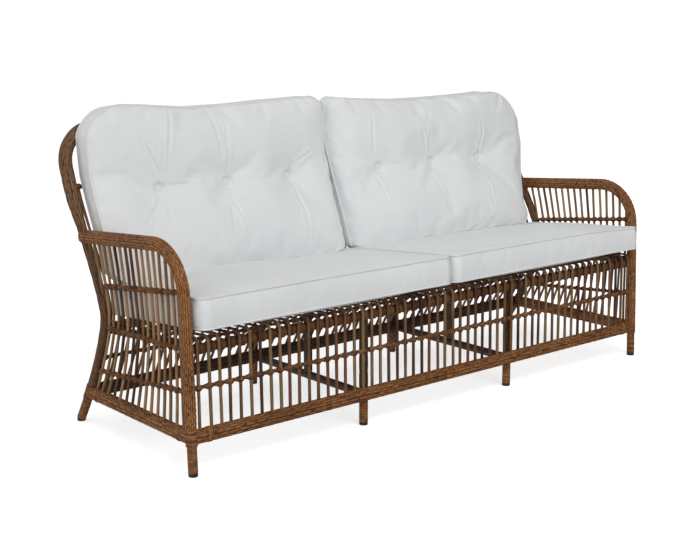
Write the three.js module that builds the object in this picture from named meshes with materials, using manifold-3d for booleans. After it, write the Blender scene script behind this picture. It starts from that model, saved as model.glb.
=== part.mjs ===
// A three seat rattan garden sofa: a woven frame with cane panels, two seat cushions and two back
// cushions. Millimetres. X runs to the right as seen from the front, Y to the back, Z up.

import * as THREE from 'three';
import { mergeVertices } from 'three/addons/utils/BufferGeometryUtils.js';
import Module from 'manifold-3d';

const wasm = await Module();
wasm.setup();

// driving dimensions of the frame
const legSpan = 1800;              // between the centres of the outer front legs
const bayCount = 3;                // bays between the front legs
const clearance = 0.3;             // gap between pieces that touch
const glideHeight = 9;             // foot glides under the legs
const frontFootReach = 3;          // how far the front feet stand out before the base rail
const legLean = THREE.MathUtils.degToRad(2.45);
const armCornerHeight = 591;       // where the lines of the front leg and the arm would cross
const armBendRadius = 128;
const armSlope = THREE.MathUtils.degToRad(4.6);
const backHeight = 845;            // centre of the top rail
const backCornerRadius = 105;
const waistHeight = 335;           // narrowest place of the frame, seen from the end
const waistDepth = 421;            // from the front of the frame to the rear posts there
const footSweep = 173;             // how far the rear feet stand behind the waist
const innerFootReach = 8;          // how far the rear inner feet stand behind the line of their legs
const innerLegBendHeight = 130;    // these legs bend forwards to the seat from here up
const backSweep = 205;             // how far the top rail lies behind the waist
const footCurveShare = 1.35;
const backCurveShare = 1.5;

// thickness of the frame, as half sizes
const footRadius = 13;
const frontPostRadius = 15.5;
const frontPostTaperHeight = 200;  // the front legs reach their full thickness here
const armHalfWidth = 15;
const armHalfHeight = 19;
const rearPostRadius = 13.5;
const loopRadius = 19.5;           // the woven loop of the back
const loopTaperStart = 560;
const loopTaperEnd = 660;
const innerLegRadius = 13;
const glideRadius = 12.5;

// rails
const baseRailHeight = 101;
const baseRailHalfDepth = 13;
const baseRailHalfHeight = 19.5;
const baseRailSetBack = 1;
const stretcherHeight = 92;
const stretcherRadius = 12;
const seatRailHeight = 338;        // centre of the bend of the front canes
const frontRailDrop = 14;          // the front rail lies this far below it
const seatRailRadius = 12;
const crossRailRadius = 11;        // the rear seat rail and the one at half depth
const centreRailDepth = 283;
const deckSlope = THREE.MathUtils.degToRad(4.9);

// canes and the thin rails that they are lashed to
const canePitch = 32.3;
const caneHalf = 4;
const backCaneHalf = 3.6;
const lashRailHalf = 4;
const lashOverlap = 1;
const sideCaneCount = 15;
const sideCaneLean = 0.5;          // above the waist a side cane leans back by this share of its way
const panelLean = THREE.MathUtils.degToRad(1);
const frontLashHeight = 226;
const rearLashHeight = 205;
const backLashHeight = 680;
const deckLashDepth = 150;
const sideLowLashFrontHeight = 219;
const sideHighLashFrontHeight = 476;
const sideLowLashSlope = THREE.MathUtils.degToRad(5.2);
const sideHighLashSlope = THREE.MathUtils.degToRad(6.9);
const topCaneOffset = 8;           // the back canes meet the top rail this far behind its centre

// cushions
const cushionGap = 3;              // half the gap between the left and the right cushion
const seatCushionInset = 20;       // from the middle of the arms to the ends of the seat cushions
const seatCushionOverhang = 35;    // the seat cushions stand out before the frame
const seatCushionThickness = 98;
const seatCushionCrown = 22;
const seatCushionEdgeLift = 14;    // the lower seam lies this much above the deck
const seatCushionCorner = 28;
const backCushionInset = 28;
const backCushionRise = 43;        // how far the back cushions stand above the middle of the top rail
const backCushionThickness = 50;   // at the boxed side
const backCushionCrown = 58;
const backCushionCorner = 34;
const backCushionOuterCorner = 104;
const backCushionOuterFoot = 58;   // the lower corner beside the arm
const innerEdgeRound = 60;         // where the back cushions meet, their front edges round off
const innerEdgeDraw = 32;          // and draw back this far
const backCushionRest = 1.5;       // gap to the canes that it leans on
const backRestHeight = 415;        // it leans on them from here up
const topBendHeight = 90;          // the last stretch of the back cushion stands upright
const seamDraw = 7;                // how far the sides pull in between the corners
const boxBulge = 3;
const standDepth = 62;             // flat strip of the seat cushion that carries the back cushion
const buttonSpacing = 234;
const buttonDrop = 224;            // below the top of the cushion
const leftButtonShift = 5;         // the buttons lie this far off the middle, towards the other cushion
const rightButtonShift = 36;
const buttonRadius = 13;
const buttonThickness = 7;
const tuftDepthShare = 0.78;
const tuftRadius = 78;
const tuftPower = 1.4;             // how sharply a tuft draws in
const paddingPower = 2.6;          // how flat the padding is in the middle
const seamPower = 0.6;             // how steeply it rises from the seam
const underFlatShare = 0.8;        // fullness at which the underside lies flat on the deck
const edgePower = 6;               // how closely the drawn-in ends keep to the outermost padding

// faces around the tubes and steps along them
const frameSides = 8;
const caneSides = 6;
const backCaneSides = 4;
const railSides = 12;
const roundSides = 12;
const armBendSteps = 7;
const cornerSteps = 6;
const overBendSteps = 3;
const lowPostSteps = 4;
const highPostSteps = 9;
const innerLegSteps = 6;
const rearSkirtSteps = 2;
const backCaneSteps = 4;
const outerBackCaneSteps = 3;
const highCaneSteps = 2;           // along a side cane above the waist
const meetingRounds = 12;          // rounds of the search for where two lines meet

const halfSpan = legSpan / 2;
const innerLegX = legSpan / bayCount / 2;
const baseTop = baseRailHeight + baseRailHalfHeight;
const seatCushionReach = halfSpan - seatCushionInset;
const backCushionReach = halfSpan - backCushionInset;
const backCushionTop = backHeight + backCushionRise;
const backCushionMiddle = (cushionGap + backCushionReach) / 2;
const buttonHeight = backCushionTop - buttonDrop;
const { clamp, lerp, smoothstep } = THREE.MathUtils;

const sofa = new THREE.Group();

// finishes
function finish(color, roughness) {
  return new THREE.MeshStandardMaterial({ color, roughness, metalness: 0 });
}
const weaveFinish = finish(0x7a5534, 0.62);
const poleFinish = finish(0x6b4528, 0.6);
const caneFinish = finish(0x8a6544, 0.55);
const glideFinish = finish(0x17171a, 0.5);
const fabricFinish = finish(0xd4d6d8, 0.92);
const buttonFinish = finish(0xcfd1d4, 0.9);

function addPiece(name, geometry, material) {
  const mesh = new THREE.Mesh(geometry, material.clone());
  mesh.name = name;
  sofa.add(mesh);
}

// joining and cutting
function toSolid(geometry) {
  const bare = geometry.clone();
  bare.deleteAttribute('normal');
  bare.deleteAttribute('uv');
  const welded = mergeVertices(bare);
  return new wasm.Manifold(new wasm.Mesh({
    numProp: 3,
    vertProperties: new Float32Array(welded.attributes.position.array),
    triVerts: new Uint32Array(welded.index.array),
  }));
}

function toGeometry(solid) {
  const mesh = solid.getMesh();
  const geometry = new THREE.BufferGeometry();
  geometry.setAttribute('position', new THREE.BufferAttribute(new Float32Array(mesh.vertProperties), 3));
  geometry.setIndex(new THREE.BufferAttribute(new Uint32Array(mesh.triVerts), 1));
  return geometry;
}

function joined(geometries) {
  return toGeometry(geometries.map(toSolid).reduce((whole, next) => whole.add(next)));
}

function cutBy(geometry, cutters) {
  return toGeometry(cutters.map(toSolid).reduce((rest, cutter) => rest.subtract(cutter), toSolid(geometry)));
}

// A closed tube through stations. Each has a centre, a half width along `across` and a half height,
// both measured to the flats, and its end may be cut square to a direction of its own.
function loft(stations, across, sides) {
  const places = [];
  const index = [];
  const turnStart = sides % 4 === 0 ? 0.5 : 0;
  const toCorner = 1 / Math.cos(Math.PI / sides);
  stations.forEach((station, i) => {
    const before = stations[Math.max(i - 1, 0)].at;
    const after = stations[Math.min(i + 1, stations.length - 1)].at;
    const along = station.along ?? after.clone().sub(before).normalize();
    const up = new THREE.Vector3().crossVectors(along, across).normalize();
    const side = new THREE.Vector3().crossVectors(up, along);
    for (let k = 0; k < sides; k++) {
      const turn = (k + turnStart) / sides * 2 * Math.PI;
      const corner = station.at.clone();
      corner.addScaledVector(side, Math.cos(turn) * station.wide * toCorner);
      corner.addScaledVector(up, Math.sin(turn) * station.tall * toCorner);
      places.push(...corner.toArray());
    }
  });
  for (let i = 0; i < stations.length - 1; i++) {
    for (let k = 0; k < sides; k++) {
      const a = i * sides + k;
      const b = i * sides + (k + 1) % sides;
      index.push(a, b, b + sides, a, b + sides, a + sides);
    }
  }
  const last = (stations.length - 1) * sides;
  for (let k = 1; k < sides - 1; k++) {
    index.push(0, k + 1, k, last, last + k, last + k + 1);
  }
  const geometry = new THREE.BufferGeometry();
  geometry.setAttribute('position', new THREE.Float32BufferAttribute(places, 3));
  geometry.setIndex(index);
  return geometry;
}

const alongX = new THREE.Vector3(1, 0, 0);
const alongY = new THREE.Vector3(0, 1, 0);
const alongZ = new THREE.Vector3(0, 0, 1);

function station(x, y, z, wide, tall = wide, along = undefined) {
  return { at: new THREE.Vector3(x, y, z), wide, tall, along };
}

function grown(stations, by) {
  return stations.map((each) => ({ ...each, wide: each.wide + by, tall: each.tall + by }));
}

function steps(from, to, count) {
  return Array.from({ length: count + 1 }, (_, i) => lerp(from, to, i / count));
}

function bothSides(build) {
  build('left', -1);
  build('right', 1);
}

// the outline of the frame, seen from the end
function frontLegY(z) {
  return z * Math.tan(legLean) - frontFootReach;
}

function frontPanelY(z) {
  return z * Math.tan(panelLean);
}

function sweptY(z, sweep) {
  if (z < waistHeight) return waistDepth + sweep * (1 - z / waistHeight) ** footCurveShare;
  const rise = clamp((z - waistHeight) / (backHeight - waistHeight), 0, 1);
  return waistDepth + backSweep * Math.sin(rise * Math.PI / 2) ** backCurveShare;
}

function rearPostY(z) {
  return sweptY(z, footSweep);
}

function slopeOf(line, z) {
  return line(z + clearance) - line(z);
}

const armCornerY = frontLegY(armCornerHeight);
function armZ(y) {
  return armCornerHeight - (y - armCornerY) * Math.tan(armSlope);
}

function meetingOf(lineY, lineZ, z) {
  let height = z;
  for (let round = 0; round < meetingRounds; round++) height = lineZ(lineY(height));
  return { y: lineY(height), z: height };
}

// feet, legs, arms and posts
function legFoot(x, lineY) {
  const lean = Math.hypot(1, slopeOf(lineY, glideHeight) / clearance);
  return station(x, lineY(glideHeight), glideHeight + clearance, footRadius, footRadius * lean, alongZ);
}

function glide(name, x, y) {
  const disc = new THREE.CylinderGeometry(glideRadius, glideRadius, glideHeight, roundSides);
  disc.rotateX(Math.PI / 2);
  disc.translate(x, y, glideHeight / 2);
  addPiece(name, disc, glideFinish);
}

const bendTurn = Math.PI / 2 + armSlope - legLean;
const bendReach = armBendRadius * Math.tan(bendTurn / 2);
const bendStart = new THREE.Vector2(
  armCornerY - bendReach * Math.sin(legLean),
  armCornerHeight - bendReach * Math.cos(legLean),
);
const bendCentre = new THREE.Vector2(
  bendStart.x + armBendRadius * Math.cos(legLean),
  bendStart.y - armBendRadius * Math.sin(legLean),
);
const bendEndY = armCornerY + bendReach * Math.cos(armSlope);
const armJoint = meetingOf(rearPostY, armZ, armCornerHeight);

function frontPostHalf(z) {
  return lerp(footRadius, frontPostRadius, smoothstep(z, 0, frontPostTaperHeight));
}

function armFrameStations(x) {
  const legHeights = [baseRailHeight, frontPostTaperHeight, bendStart.y];
  const leg = legHeights.map((z) => station(x, frontLegY(z), z, frontPostHalf(z)));
  const bend = steps(0, bendTurn, armBendSteps).slice(1).map((turn) => {
    const angle = Math.PI - legLean - turn;
    const y = bendCentre.x + armBendRadius * Math.cos(angle);
    const z = bendCentre.y + armBendRadius * Math.sin(angle);
    const tall = lerp(frontPostRadius, armHalfHeight, turn / bendTurn);
    return station(x, y, z, lerp(frontPostRadius, armHalfWidth, turn / bendTurn), tall);
  });
  const rear = station(x, armJoint.y, armJoint.z, rearPostRadius, armHalfHeight);
  return [legFoot(x, frontLegY), ...leg, ...bend, rear];
}

function rearPostHalf(z) {
  return lerp(rearPostRadius, loopRadius, smoothstep(z, loopTaperStart, loopTaperEnd));
}

const cornerStart = backHeight - backCornerRadius;
function rearPostStations(x) {
  const low = steps(baseRailHeight, waistHeight, lowPostSteps);
  const high = steps(waistHeight, cornerStart, highPostSteps).slice(1);
  const body = [...low, ...high].map((z) => station(x, rearPostY(z), z, rearPostHalf(z)));
  body[body.length - 1].along = alongZ;
  return [legFoot(x, rearPostY), ...body];
}

bothSides((side, sign) => {
  const x = sign * halfSpan;
  const post = rearPostStations(x);
  const armFrame = loft(armFrameStations(x), alongX, frameSides);
  const clearPost = loft(grown(post, clearance), alongX, frameSides);
  addPiece(`${side}_arm_frame`, cutBy(armFrame, [clearPost]), weaveFinish);
  addPiece(`${side}_rear_post`, loft(post, alongX, frameSides), weaveFinish);
  glide(`front_${side}_outer_glide`, x, frontLegY(glideHeight));
  glide(`rear_${side}_outer_glide`, x, rearPostY(glideHeight));
});

// the loop of the back: up from each post, round the corner and across
function backLoop() {
  const corner = steps(0, Math.PI / 2, cornerSteps).map((turn) => ({
    x: halfSpan - backCornerRadius * (1 - Math.cos(turn)),
    z: cornerStart + clearance + backCornerRadius * Math.sin(turn),
  }));
  const half = corner.map(({ x, z }) => station(x, rearPostY(z), z, loopRadius));
  const other = half.map(({ at }) => station(-at.x, at.y, at.z, loopRadius)).reverse();
  half[0].along = alongZ;
  other[other.length - 1].along = alongZ.clone().negate();
  return loft([...half, ...other], alongY, frameSides);
}
addPiece('back_top_rail', backLoop(), weaveFinish);

// the seat's slope, and the rails that carry it
const overTurn = Math.PI / 2 + deckSlope - panelLean;
const seatRailCorner = seatRailRadius / Math.cos(Math.PI / railSides);
const overRadius = (seatRailCorner + clearance + caneHalf) / Math.cos(overTurn / overBendSteps / 2);
const seatRailY = frontPanelY(seatRailHeight) + overRadius / Math.cos(panelLean);
const frontRailHeight = seatRailHeight - frontRailDrop;
const frontRailY = frontPanelY(frontRailHeight) + overRadius / Math.cos(panelLean);
const deckStart = new THREE.Vector2(
  seatRailY + overRadius * Math.sin(deckSlope),
  seatRailHeight + overRadius * Math.cos(deckSlope),
);
function deckZ(y) {
  return deckStart.y - (y - deckStart.x) * Math.tan(deckSlope);
}
function underDeck(y, half) {
  const flatEdge = half * Math.tan(Math.PI / frameSides);
  return deckZ(y) - (backCaneHalf + half + clearance) / Math.cos(deckSlope) - flatEdge * Math.tan(deckSlope);
}

const rearSeatRailY = rearPostY(underDeck(waistDepth, crossRailRadius));
const rearSeatRailHeight = underDeck(rearSeatRailY, crossRailRadius);
const rearCaneOffset = crossRailRadius / Math.cos(Math.PI / frameSides) + clearance + backCaneHalf;
function backCaneY(z) {
  const rise = clamp((z - waistHeight) / (backHeight - waistHeight), 0, 1);
  return rearPostY(z) + lerp(rearCaneOffset, topCaneOffset, rise);
}

function crossBar(y, z, fromX, toX, halfDepth, halfHeight, sides) {
  const ends = [fromX, toX].map((x) => station(x, y, z, halfDepth, halfHeight));
  return loft(ends, alongY, sides);
}

const frontRailEnd = halfSpan - frontPostHalf(baseTop) - clearance;
const seatRailEnd = halfSpan - frontPostRadius - clearance;
const rearRailEnd = halfSpan - rearPostRadius - clearance;
const sideSeatRailX = halfSpan - backCaneHalf - seatRailRadius - clearance;
const centreRailEnd = sideSeatRailX - seatRailRadius - clearance;

function cornerOf(half) {
  return half / Math.cos(Math.PI / frameSides);
}

addPiece(
  'front_base_rail',
  crossBar(baseRailSetBack, baseRailHeight, -frontRailEnd, frontRailEnd,
    baseRailHalfDepth, baseRailHalfHeight, frameSides),
  weaveFinish,
);
addPiece(
  'front_seat_rail',
  crossBar(frontRailY, frontRailHeight, -seatRailEnd, seatRailEnd,
    seatRailRadius, seatRailRadius, railSides),
  poleFinish,
);
addPiece(
  'rear_seat_rail',
  crossBar(rearSeatRailY, rearSeatRailHeight, -rearRailEnd, rearRailEnd,
    crossRailRadius, crossRailRadius, frameSides),
  poleFinish,
);
const centreRailHeight = underDeck(centreRailDepth, crossRailRadius);
addPiece(
  'seat_centre_rail',
  crossBar(centreRailDepth, centreRailHeight, -centreRailEnd, centreRailEnd,
    crossRailRadius, crossRailRadius, frameSides),
  poleFinish,
);

// inner legs, stretchers and struts
const lashRailY = frontPanelY(frontLashHeight) + caneHalf + lashRailHalf - lashOverlap;
const frontInnerLegY = lashRailY + lashRailHalf + clearance + innerLegRadius;
const rearInnerLegTop = rearSeatRailHeight - crossRailRadius - clearance;
const rearBaseRailY = backCaneY(baseTop);
const legRoom = cornerOf(innerLegRadius) + clearance;

// the rear inner legs stand behind the base rail and bend forwards to the rail of the seat
function rearInnerLegY(z) {
  const behindRail = rearBaseRailY + cornerOf(baseRailHalfDepth) + legRoom;
  const reach = innerFootReach * Math.max(0, 1 - z / baseRailHeight);
  return lerp(behindRail, rearSeatRailY, smoothstep(z, innerLegBendHeight, rearInnerLegTop)) + reach;
}

function rearInnerLegStations(x) {
  const heights = steps(baseRailHeight, rearInnerLegTop, innerLegSteps);
  const body = heights.map((z) => station(x, rearInnerLegY(z), z, innerLegRadius));
  body[body.length - 1].along = alongZ;
  return [legFoot(x, rearInnerLegY), ...body];
}

bothSides((side, sign) => {
  const x = sign * innerLegX;
  const frontLeg = [
    station(x, frontInnerLegY, glideHeight + clearance, footRadius),
    station(x, frontInnerLegY, frontRailHeight - seatRailRadius - clearance, innerLegRadius),
  ];
  addPiece(`front_inner_leg_${side}`, loft(frontLeg, alongX, frameSides), weaveFinish);
  addPiece(`rear_inner_leg_${side}`, loft(rearInnerLegStations(x), alongX, frameSides), weaveFinish);
  glide(`front_${side}_inner_glide`, x, frontInnerLegY);
  glide(`rear_${side}_inner_glide`, x, rearInnerLegY(glideHeight));

  const stretcher = loft([
    station(x, frontInnerLegY + innerLegRadius + clearance, stretcherHeight, stretcherRadius),
    station(x, rearBaseRailY - baseRailHalfDepth - clearance, stretcherHeight, stretcherRadius),
  ], alongX, frameSides);
  addPiece(`base_stretcher_${side}`, stretcher, poleFinish);
  const strut = [
    station(x, centreRailDepth, stretcherHeight + stretcherRadius + clearance, innerLegRadius),
    station(x, centreRailDepth, centreRailHeight - crossRailRadius - clearance, innerLegRadius),
  ];
  addPiece(`centre_strut_${side}`, loft(strut, alongX, frameSides), poleFinish);
});

addPiece(
  'rear_base_rail',
  crossBar(rearBaseRailY, baseRailHeight, -rearRailEnd, rearRailEnd,
    baseRailHalfDepth, baseRailHalfHeight, frameSides),
  weaveFinish,
);

bothSides((side, sign) => {
  const x = sign * halfSpan;
  const clearPost = loft(grown(rearPostStations(x), clearance), alongX, frameSides);
  const baseRail = loft([
    station(x, frontLegY(baseTop) + cornerOf(frontPostHalf(baseTop)) + clearance, baseRailHeight,
      baseRailHalfDepth, baseRailHalfHeight),
    station(x, rearPostY(baseTop), baseRailHeight, baseRailHalfDepth, baseRailHalfHeight),
  ], alongX, frameSides);
  addPiece(`${side}_base_rail`, cutBy(baseRail, [clearPost]), weaveFinish);

  const railX = sign * sideSeatRailX;
  const frontEnd = seatRailY + seatRailCorner + clearance;
  const rearEnd = rearSeatRailY - cornerOf(crossRailRadius) - clearance;
  const seatRail = loft([
    station(railX, frontEnd, underDeck(frontEnd, seatRailRadius), seatRailRadius, seatRailRadius, alongY),
    station(railX, rearEnd, underDeck(rearEnd, seatRailRadius), seatRailRadius, seatRailRadius, alongY),
  ], alongX, frameSides);
  addPiece(`${side}_seat_rail`, cutBy(seatRail, [clearPost]), poleFinish);
});

// cane panels: each bay's canes, lashed to a thin rail
const caneReach = canePitch * Math.floor((seatRailEnd - caneHalf - clearance) / canePitch);
const caneCount = 2 * Math.round(caneReach / canePitch) + 1;
const caneXs = Array.from({ length: caneCount }, (_, i) => i * canePitch - caneReach);
const bays = [
  { name: 'left', to: -innerLegX },
  { name: 'centre', from: -innerLegX, to: innerLegX },
  { name: 'right', from: innerLegX },
];

function bayPanel(bay, railReach, caneAt, railBetween, room = clearance / 2) {
  const fromX = 'from' in bay ? bay.from + room : clearance / 2 - railReach;
  const toX = 'to' in bay ? bay.to - room : railReach - clearance / 2;
  const canes = caneXs.filter((x) => x > fromX && x < toX).map(caneAt);
  return joined([railBetween(fromX, toX), ...canes]);
}

function skirtCane(x) {
  const foot = baseTop + clearance;
  const over = steps(0, overTurn, overBendSteps).map((turn) => {
    const angle = Math.PI - panelLean - turn;
    const y = seatRailY + overRadius * Math.cos(angle);
    return station(x, y, seatRailHeight + overRadius * Math.sin(angle), caneHalf);
  });
  over[overBendSteps].along = new THREE.Vector3(0, Math.cos(deckSlope), -Math.sin(deckSlope));
  return loft([station(x, frontPanelY(foot), foot, caneHalf), ...over], alongX, caneSides);
}

function deckCane(x) {
  const fromY = deckStart.x + clearance;
  const toY = rearSeatRailY + crossRailRadius - clearance;
  return loft([
    station(x, fromY, deckZ(fromY), backCaneHalf),
    station(x, toY, deckZ(toY), backCaneHalf),
  ], alongX, backCaneSides);
}

// a cane that follows a line up the frame, with level ends
function uprightCane(x, lineY, heights) {
  const stations = heights.map((z) => station(x, lineY(z), z, backCaneHalf));
  stations[0].along = alongZ;
  stations[stations.length - 1].along = alongZ;
  return loft(stations, alongX, backCaneSides);
}

function rearSkirtCane(x) {
  const heights = steps(baseTop + clearance, rearSeatRailHeight - clearance / 2, rearSkirtSteps);
  return uprightCane(x, backCaneY, heights);
}

const caneTop = backHeight - loopRadius - clearance;
function underLoopZ(x) {
  const off = Math.abs(x) + backCaneHalf - (halfSpan - backCornerRadius);
  if (off < 0) return caneTop;
  const reach = (backCornerRadius - loopRadius) * Math.cos(Math.PI / 4 / cornerSteps) - clearance;
  return cornerStart + Math.sqrt(Math.max(reach ** 2 - off ** 2, 0));
}

function backCane(x) {
  const outer = Math.abs(x) > caneReach - canePitch / 2;
  const top = outer ? backLashHeight : underLoopZ(x);
  const heights = steps(rearSeatRailHeight + clearance / 2, top, outer ? outerBackCaneSteps : backCaneSteps);
  return uprightCane(x, backCaneY, heights);
}

function lashRail(y, z) {
  return (fromX, toX) => {
    const ends = [fromX, toX].map((x) => station(x, y, z, lashRailHalf));
    return loft(ends, alongZ, backCaneSides);
  };
}

const lashStep = backCaneHalf + lashRailHalf - lashOverlap;
const rearLashY = backCaneY(rearLashHeight) + lashStep;
const backLashY = backCaneY(backLashHeight) - lashStep;
const deckLashZ = deckZ(deckLashDepth) - lashStep;
const backRailEnd = halfSpan - loopRadius - clearance;
for (const bay of bays) {
  addPiece(`front_skirt_canes_${bay.name}`,
    bayPanel(bay, seatRailEnd, skirtCane, lashRail(lashRailY, frontLashHeight)), caneFinish);
  addPiece(`seat_deck_canes_${bay.name}`,
    bayPanel(bay, centreRailEnd, deckCane, lashRail(deckLashDepth, deckLashZ)), caneFinish);
  addPiece(`rear_skirt_canes_${bay.name}`,
    bayPanel(bay, rearRailEnd, rearSkirtCane, lashRail(rearLashY, rearLashHeight), legRoom), caneFinish);
  addPiece(`back_canes_${bay.name}`,
    bayPanel(bay, backRailEnd, backCane, lashRail(backLashY, backLashHeight)), caneFinish);
}

// side panels: canes that share out the space between leg and post, lashed to two rails
function underArmZ(y) {
  if (y > bendEndY) return armZ(y) - armHalfHeight / Math.cos(armSlope) - 2 * clearance;
  const reach = (armBendRadius - armHalfHeight) * Math.cos(bendTurn / armBendSteps / 2) - clearance;
  const off = Math.min(y - backCaneHalf - bendCentre.x, 0);
  return bendCentre.y + Math.sqrt(Math.max(reach ** 2 - off ** 2, 0));
}

function sideCaneY(share) {
  const sharedY = (z) => lerp(frontLegY(z), rearPostY(z), share);
  return (z) => (z < waistHeight ? sharedY(z) : lerp(sharedY(waistHeight), sharedY(z), sideCaneLean));
}

function sideCane(x, share) {
  const lineY = sideCaneY(share);
  const top = meetingOf(lineY, underArmZ, bendStart.y).z;
  const low = [baseTop + clearance, lerp(baseTop, waistHeight, 0.5)];
  const heights = [...low, ...steps(waistHeight, top, highCaneSteps)];
  return uprightCane(x, lineY, heights);
}

function behindLegY(z) {
  if (z < bendStart.y) return frontLegY(z) + cornerOf(frontPostRadius);
  return bendCentre.x - Math.sqrt((armBendRadius - armHalfHeight) ** 2 - (z - bendCentre.y) ** 2);
}

function sideLash(x, frontHeight, slope) {
  const lineZ = (y) => frontHeight - y * Math.tan(slope);
  const frontY = behindLegY(frontHeight) + clearance;
  const rear = meetingOf(rearPostY, lineZ, frontHeight);
  const rearY = rear.y - cornerOf(rearPostRadius) - lashRailHalf - clearance;
  return loft([
    station(x, frontY, lineZ(frontY), lashRailHalf),
    station(x, rearY, lineZ(rearY), lashRailHalf),
  ], alongX, backCaneSides);
}

bothSides((side, sign) => {
  const railX = sign * (halfSpan - lashStep);
  const canes = Array.from({ length: sideCaneCount }, (_, i) =>
    sideCane(sign * halfSpan, (i + 1) / (sideCaneCount + 1)));
  addPiece(`${side}_side_canes`, joined([
    sideLash(railX, sideLowLashFrontHeight, sideLowLashSlope),
    sideLash(railX, sideHighLashFrontHeight, sideHighLashSlope),
    ...canes,
  ]), caneFinish);
});

// cushions: a grid over the face and one over the underside, closed by a boxed side
function cushionSkin(columns, rows, place) {
  const places = [];
  const index = [];
  const rowLength = columns.length;
  const layer = rowLength * rows.length;
  for (const face of [0, 1]) {
    for (const row of rows) {
      for (const column of columns) places.push(...place(column, row, face).toArray());
    }
  }
  for (let r = 0; r < rows.length - 1; r++) {
    for (let c = 0; c < rowLength - 1; c++) {
      const a = r * rowLength + c;
      const b = a + 1;
      const d = a + rowLength;
      index.push(a, b + rowLength, b, a, d, b + rowLength);
      index.push(layer + a, layer + b, layer + b + rowLength, layer + a, layer + b + rowLength, layer + d);
    }
  }
  const rim = [];
  for (let c = 0; c < rowLength - 1; c++) rim.push([c, 0]);
  for (let r = 0; r < rows.length - 1; r++) rim.push([rowLength - 1, r]);
  for (let c = rowLength - 1; c > 0; c--) rim.push([c, rows.length - 1]);
  for (let r = rows.length - 1; r > 0; r--) rim.push([0, r]);
  const middle = 2 * layer;
  for (const [c, r] of rim) places.push(...place(columns[c], rows[r], 0.5).toArray());
  rim.forEach(([c, r], i) => {
    const next = (i + 1) % rim.length;
    const a = r * rowLength + c;
    const b = rim[next][1] * rowLength + rim[next][0];
    index.push(a, b, middle + next, a, middle + next, middle + i);
    index.push(middle + i, middle + next, layer + b, middle + i, layer + b, layer + a);
  });
  const geometry = new THREE.BufferGeometry();
  geometry.setAttribute('position', new THREE.Float32BufferAttribute(places, 3));
  geometry.setIndex(index);
  return geometry;
}

// how full the padding is at a place from -1 to 1 between two seams
function fullness(place) {
  return Math.max(1 - Math.abs(place) ** paddingPower, 0) ** seamPower;
}

// how far a side pulls in at a share of the way between its corners
function drawnIn(share) {
  return seamDraw * Math.sqrt(Math.abs(Math.sin(share * Math.PI)));
}

// how far a rounded corner draws the edge in, at a distance from the end of the cushion
function cornerDraw(distance, radius) {
  const inside = clamp(radius - distance, 0, radius);
  return radius - Math.sqrt(radius ** 2 - inside ** 2);
}

const rowShares = [0, 0.02, 0.06, 0.14, 0.26, 0.4, 0.5, 0.6, 0.74, 0.86, 0.94, 0.98, 1];
const columnShares = [0, 0.03, 0.09, 0.18, 0.3, 0.4, 0.5, 0.6, 0.7, 0.82, 0.91, 0.97, 1];

const deckTop = backCaneHalf / Math.cos(deckSlope) + clearance;
const waistCaneFace = backCaneY(waistHeight) - backCaneHalf;
const seatCushionEnd = waistCaneFace - cushionGap;
const seatCushionLength = (seatCushionEnd + seatCushionOverhang) / Math.cos(deckSlope);

function seatCushion() {
  const width = seatCushionReach - cushionGap;
  return cushionSkin(columnShares, rowShares, (column, row, face) => {
    const along = row * seatCushionLength;
    const fromEnd = Math.min(along, seatCushionLength - along);
    const inset = cornerDraw(fromEnd, seatCushionCorner) + drawnIn(row);
    const bulge = face === 0.5 ? boxBulge : 0;
    const x = cushionGap + lerp(inset - bulge, width - inset + bulge, column);
    const endDraw = drawnIn(column);
    const y = lerp(endDraw - bulge, seatCushionLength - endDraw + bulge, row);
    const acrossFull = fullness(2 * column - 1);
    const frontLength = seatCushionLength - standDepth;
    const faceFull = acrossFull * fullness(clamp(2 * along / frontLength - 1, -1, 1));
    const underFull = acrossFull * fullness(2 * row - 1);
    const under = seatCushionEdgeLift * (1 - Math.min(underFull / underFlatShare, 1));
    const height = [under, lerp(under, seatCushionThickness, 0.5), seatCushionThickness];
    const z = height[face * 2] + (face === 1 ? seatCushionCrown * faceFull : 0);
    const turned = new THREE.Vector3(0, y, z).applyAxisAngle(alongX, -deckSlope);
    return new THREE.Vector3(
      x,
      turned.y - seatCushionOverhang,
      turned.z + deckZ(-seatCushionOverhang) + deckTop,
    );
  });
}

// the back cushion leans on the line from the canes behind its foot to their top, and stands upright
// where it meets the top rail
const footCaneFace = backCaneY(backRestHeight) - backCaneHalf;
const caneLean = (backCaneY(caneTop) - backCaneHalf - footCaneFace) / (caneTop - backRestHeight);
const topRailFace = rearPostY(backHeight) - cornerOf(loopRadius) - clearance;
function backRestY(z) {
  const leaning = footCaneFace + caneLean * (z - backRestHeight) - backCushionRest;
  const room = topRailFace - leaning;
  const blend = caneLean * topBendHeight;
  if (room > blend) return leaning;
  const share = clamp((blend - room) / (2 * blend), 0, 1);
  return topRailFace - blend * (1 - share) ** 2;
}

function seatTopZ(y) {
  return deckZ(y) + deckTop + seatCushionThickness / Math.cos(deckSlope);
}
const backCushionFoot = meetingOf(backRestY, seatTopZ, waistHeight).z + clearance;
const backCushionHeight = backCushionTop - backCushionFoot;
const standSlope = backCushionThickness * Math.tan(deckSlope);
function buttonXsAt(shift) {
  return [-buttonSpacing, 0, buttonSpacing].map((offset) => backCushionMiddle - shift + offset);
}

function tuft(x, z, buttonXs) {
  const pulls = buttonXs.map((buttonX) => {
    const distance = Math.hypot(x - buttonX, z - buttonHeight) / tuftRadius;
    return Math.exp(-(distance ** tuftPower));
  });
  return 1 - tuftDepthShare * Math.max(...pulls);
}

// how far the front edge draws back beside the other cushion
function innerDraw(x) {
  return innerEdgeDraw * cornerDraw(x - cushionGap, innerEdgeRound) / innerEdgeRound;
}

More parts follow.
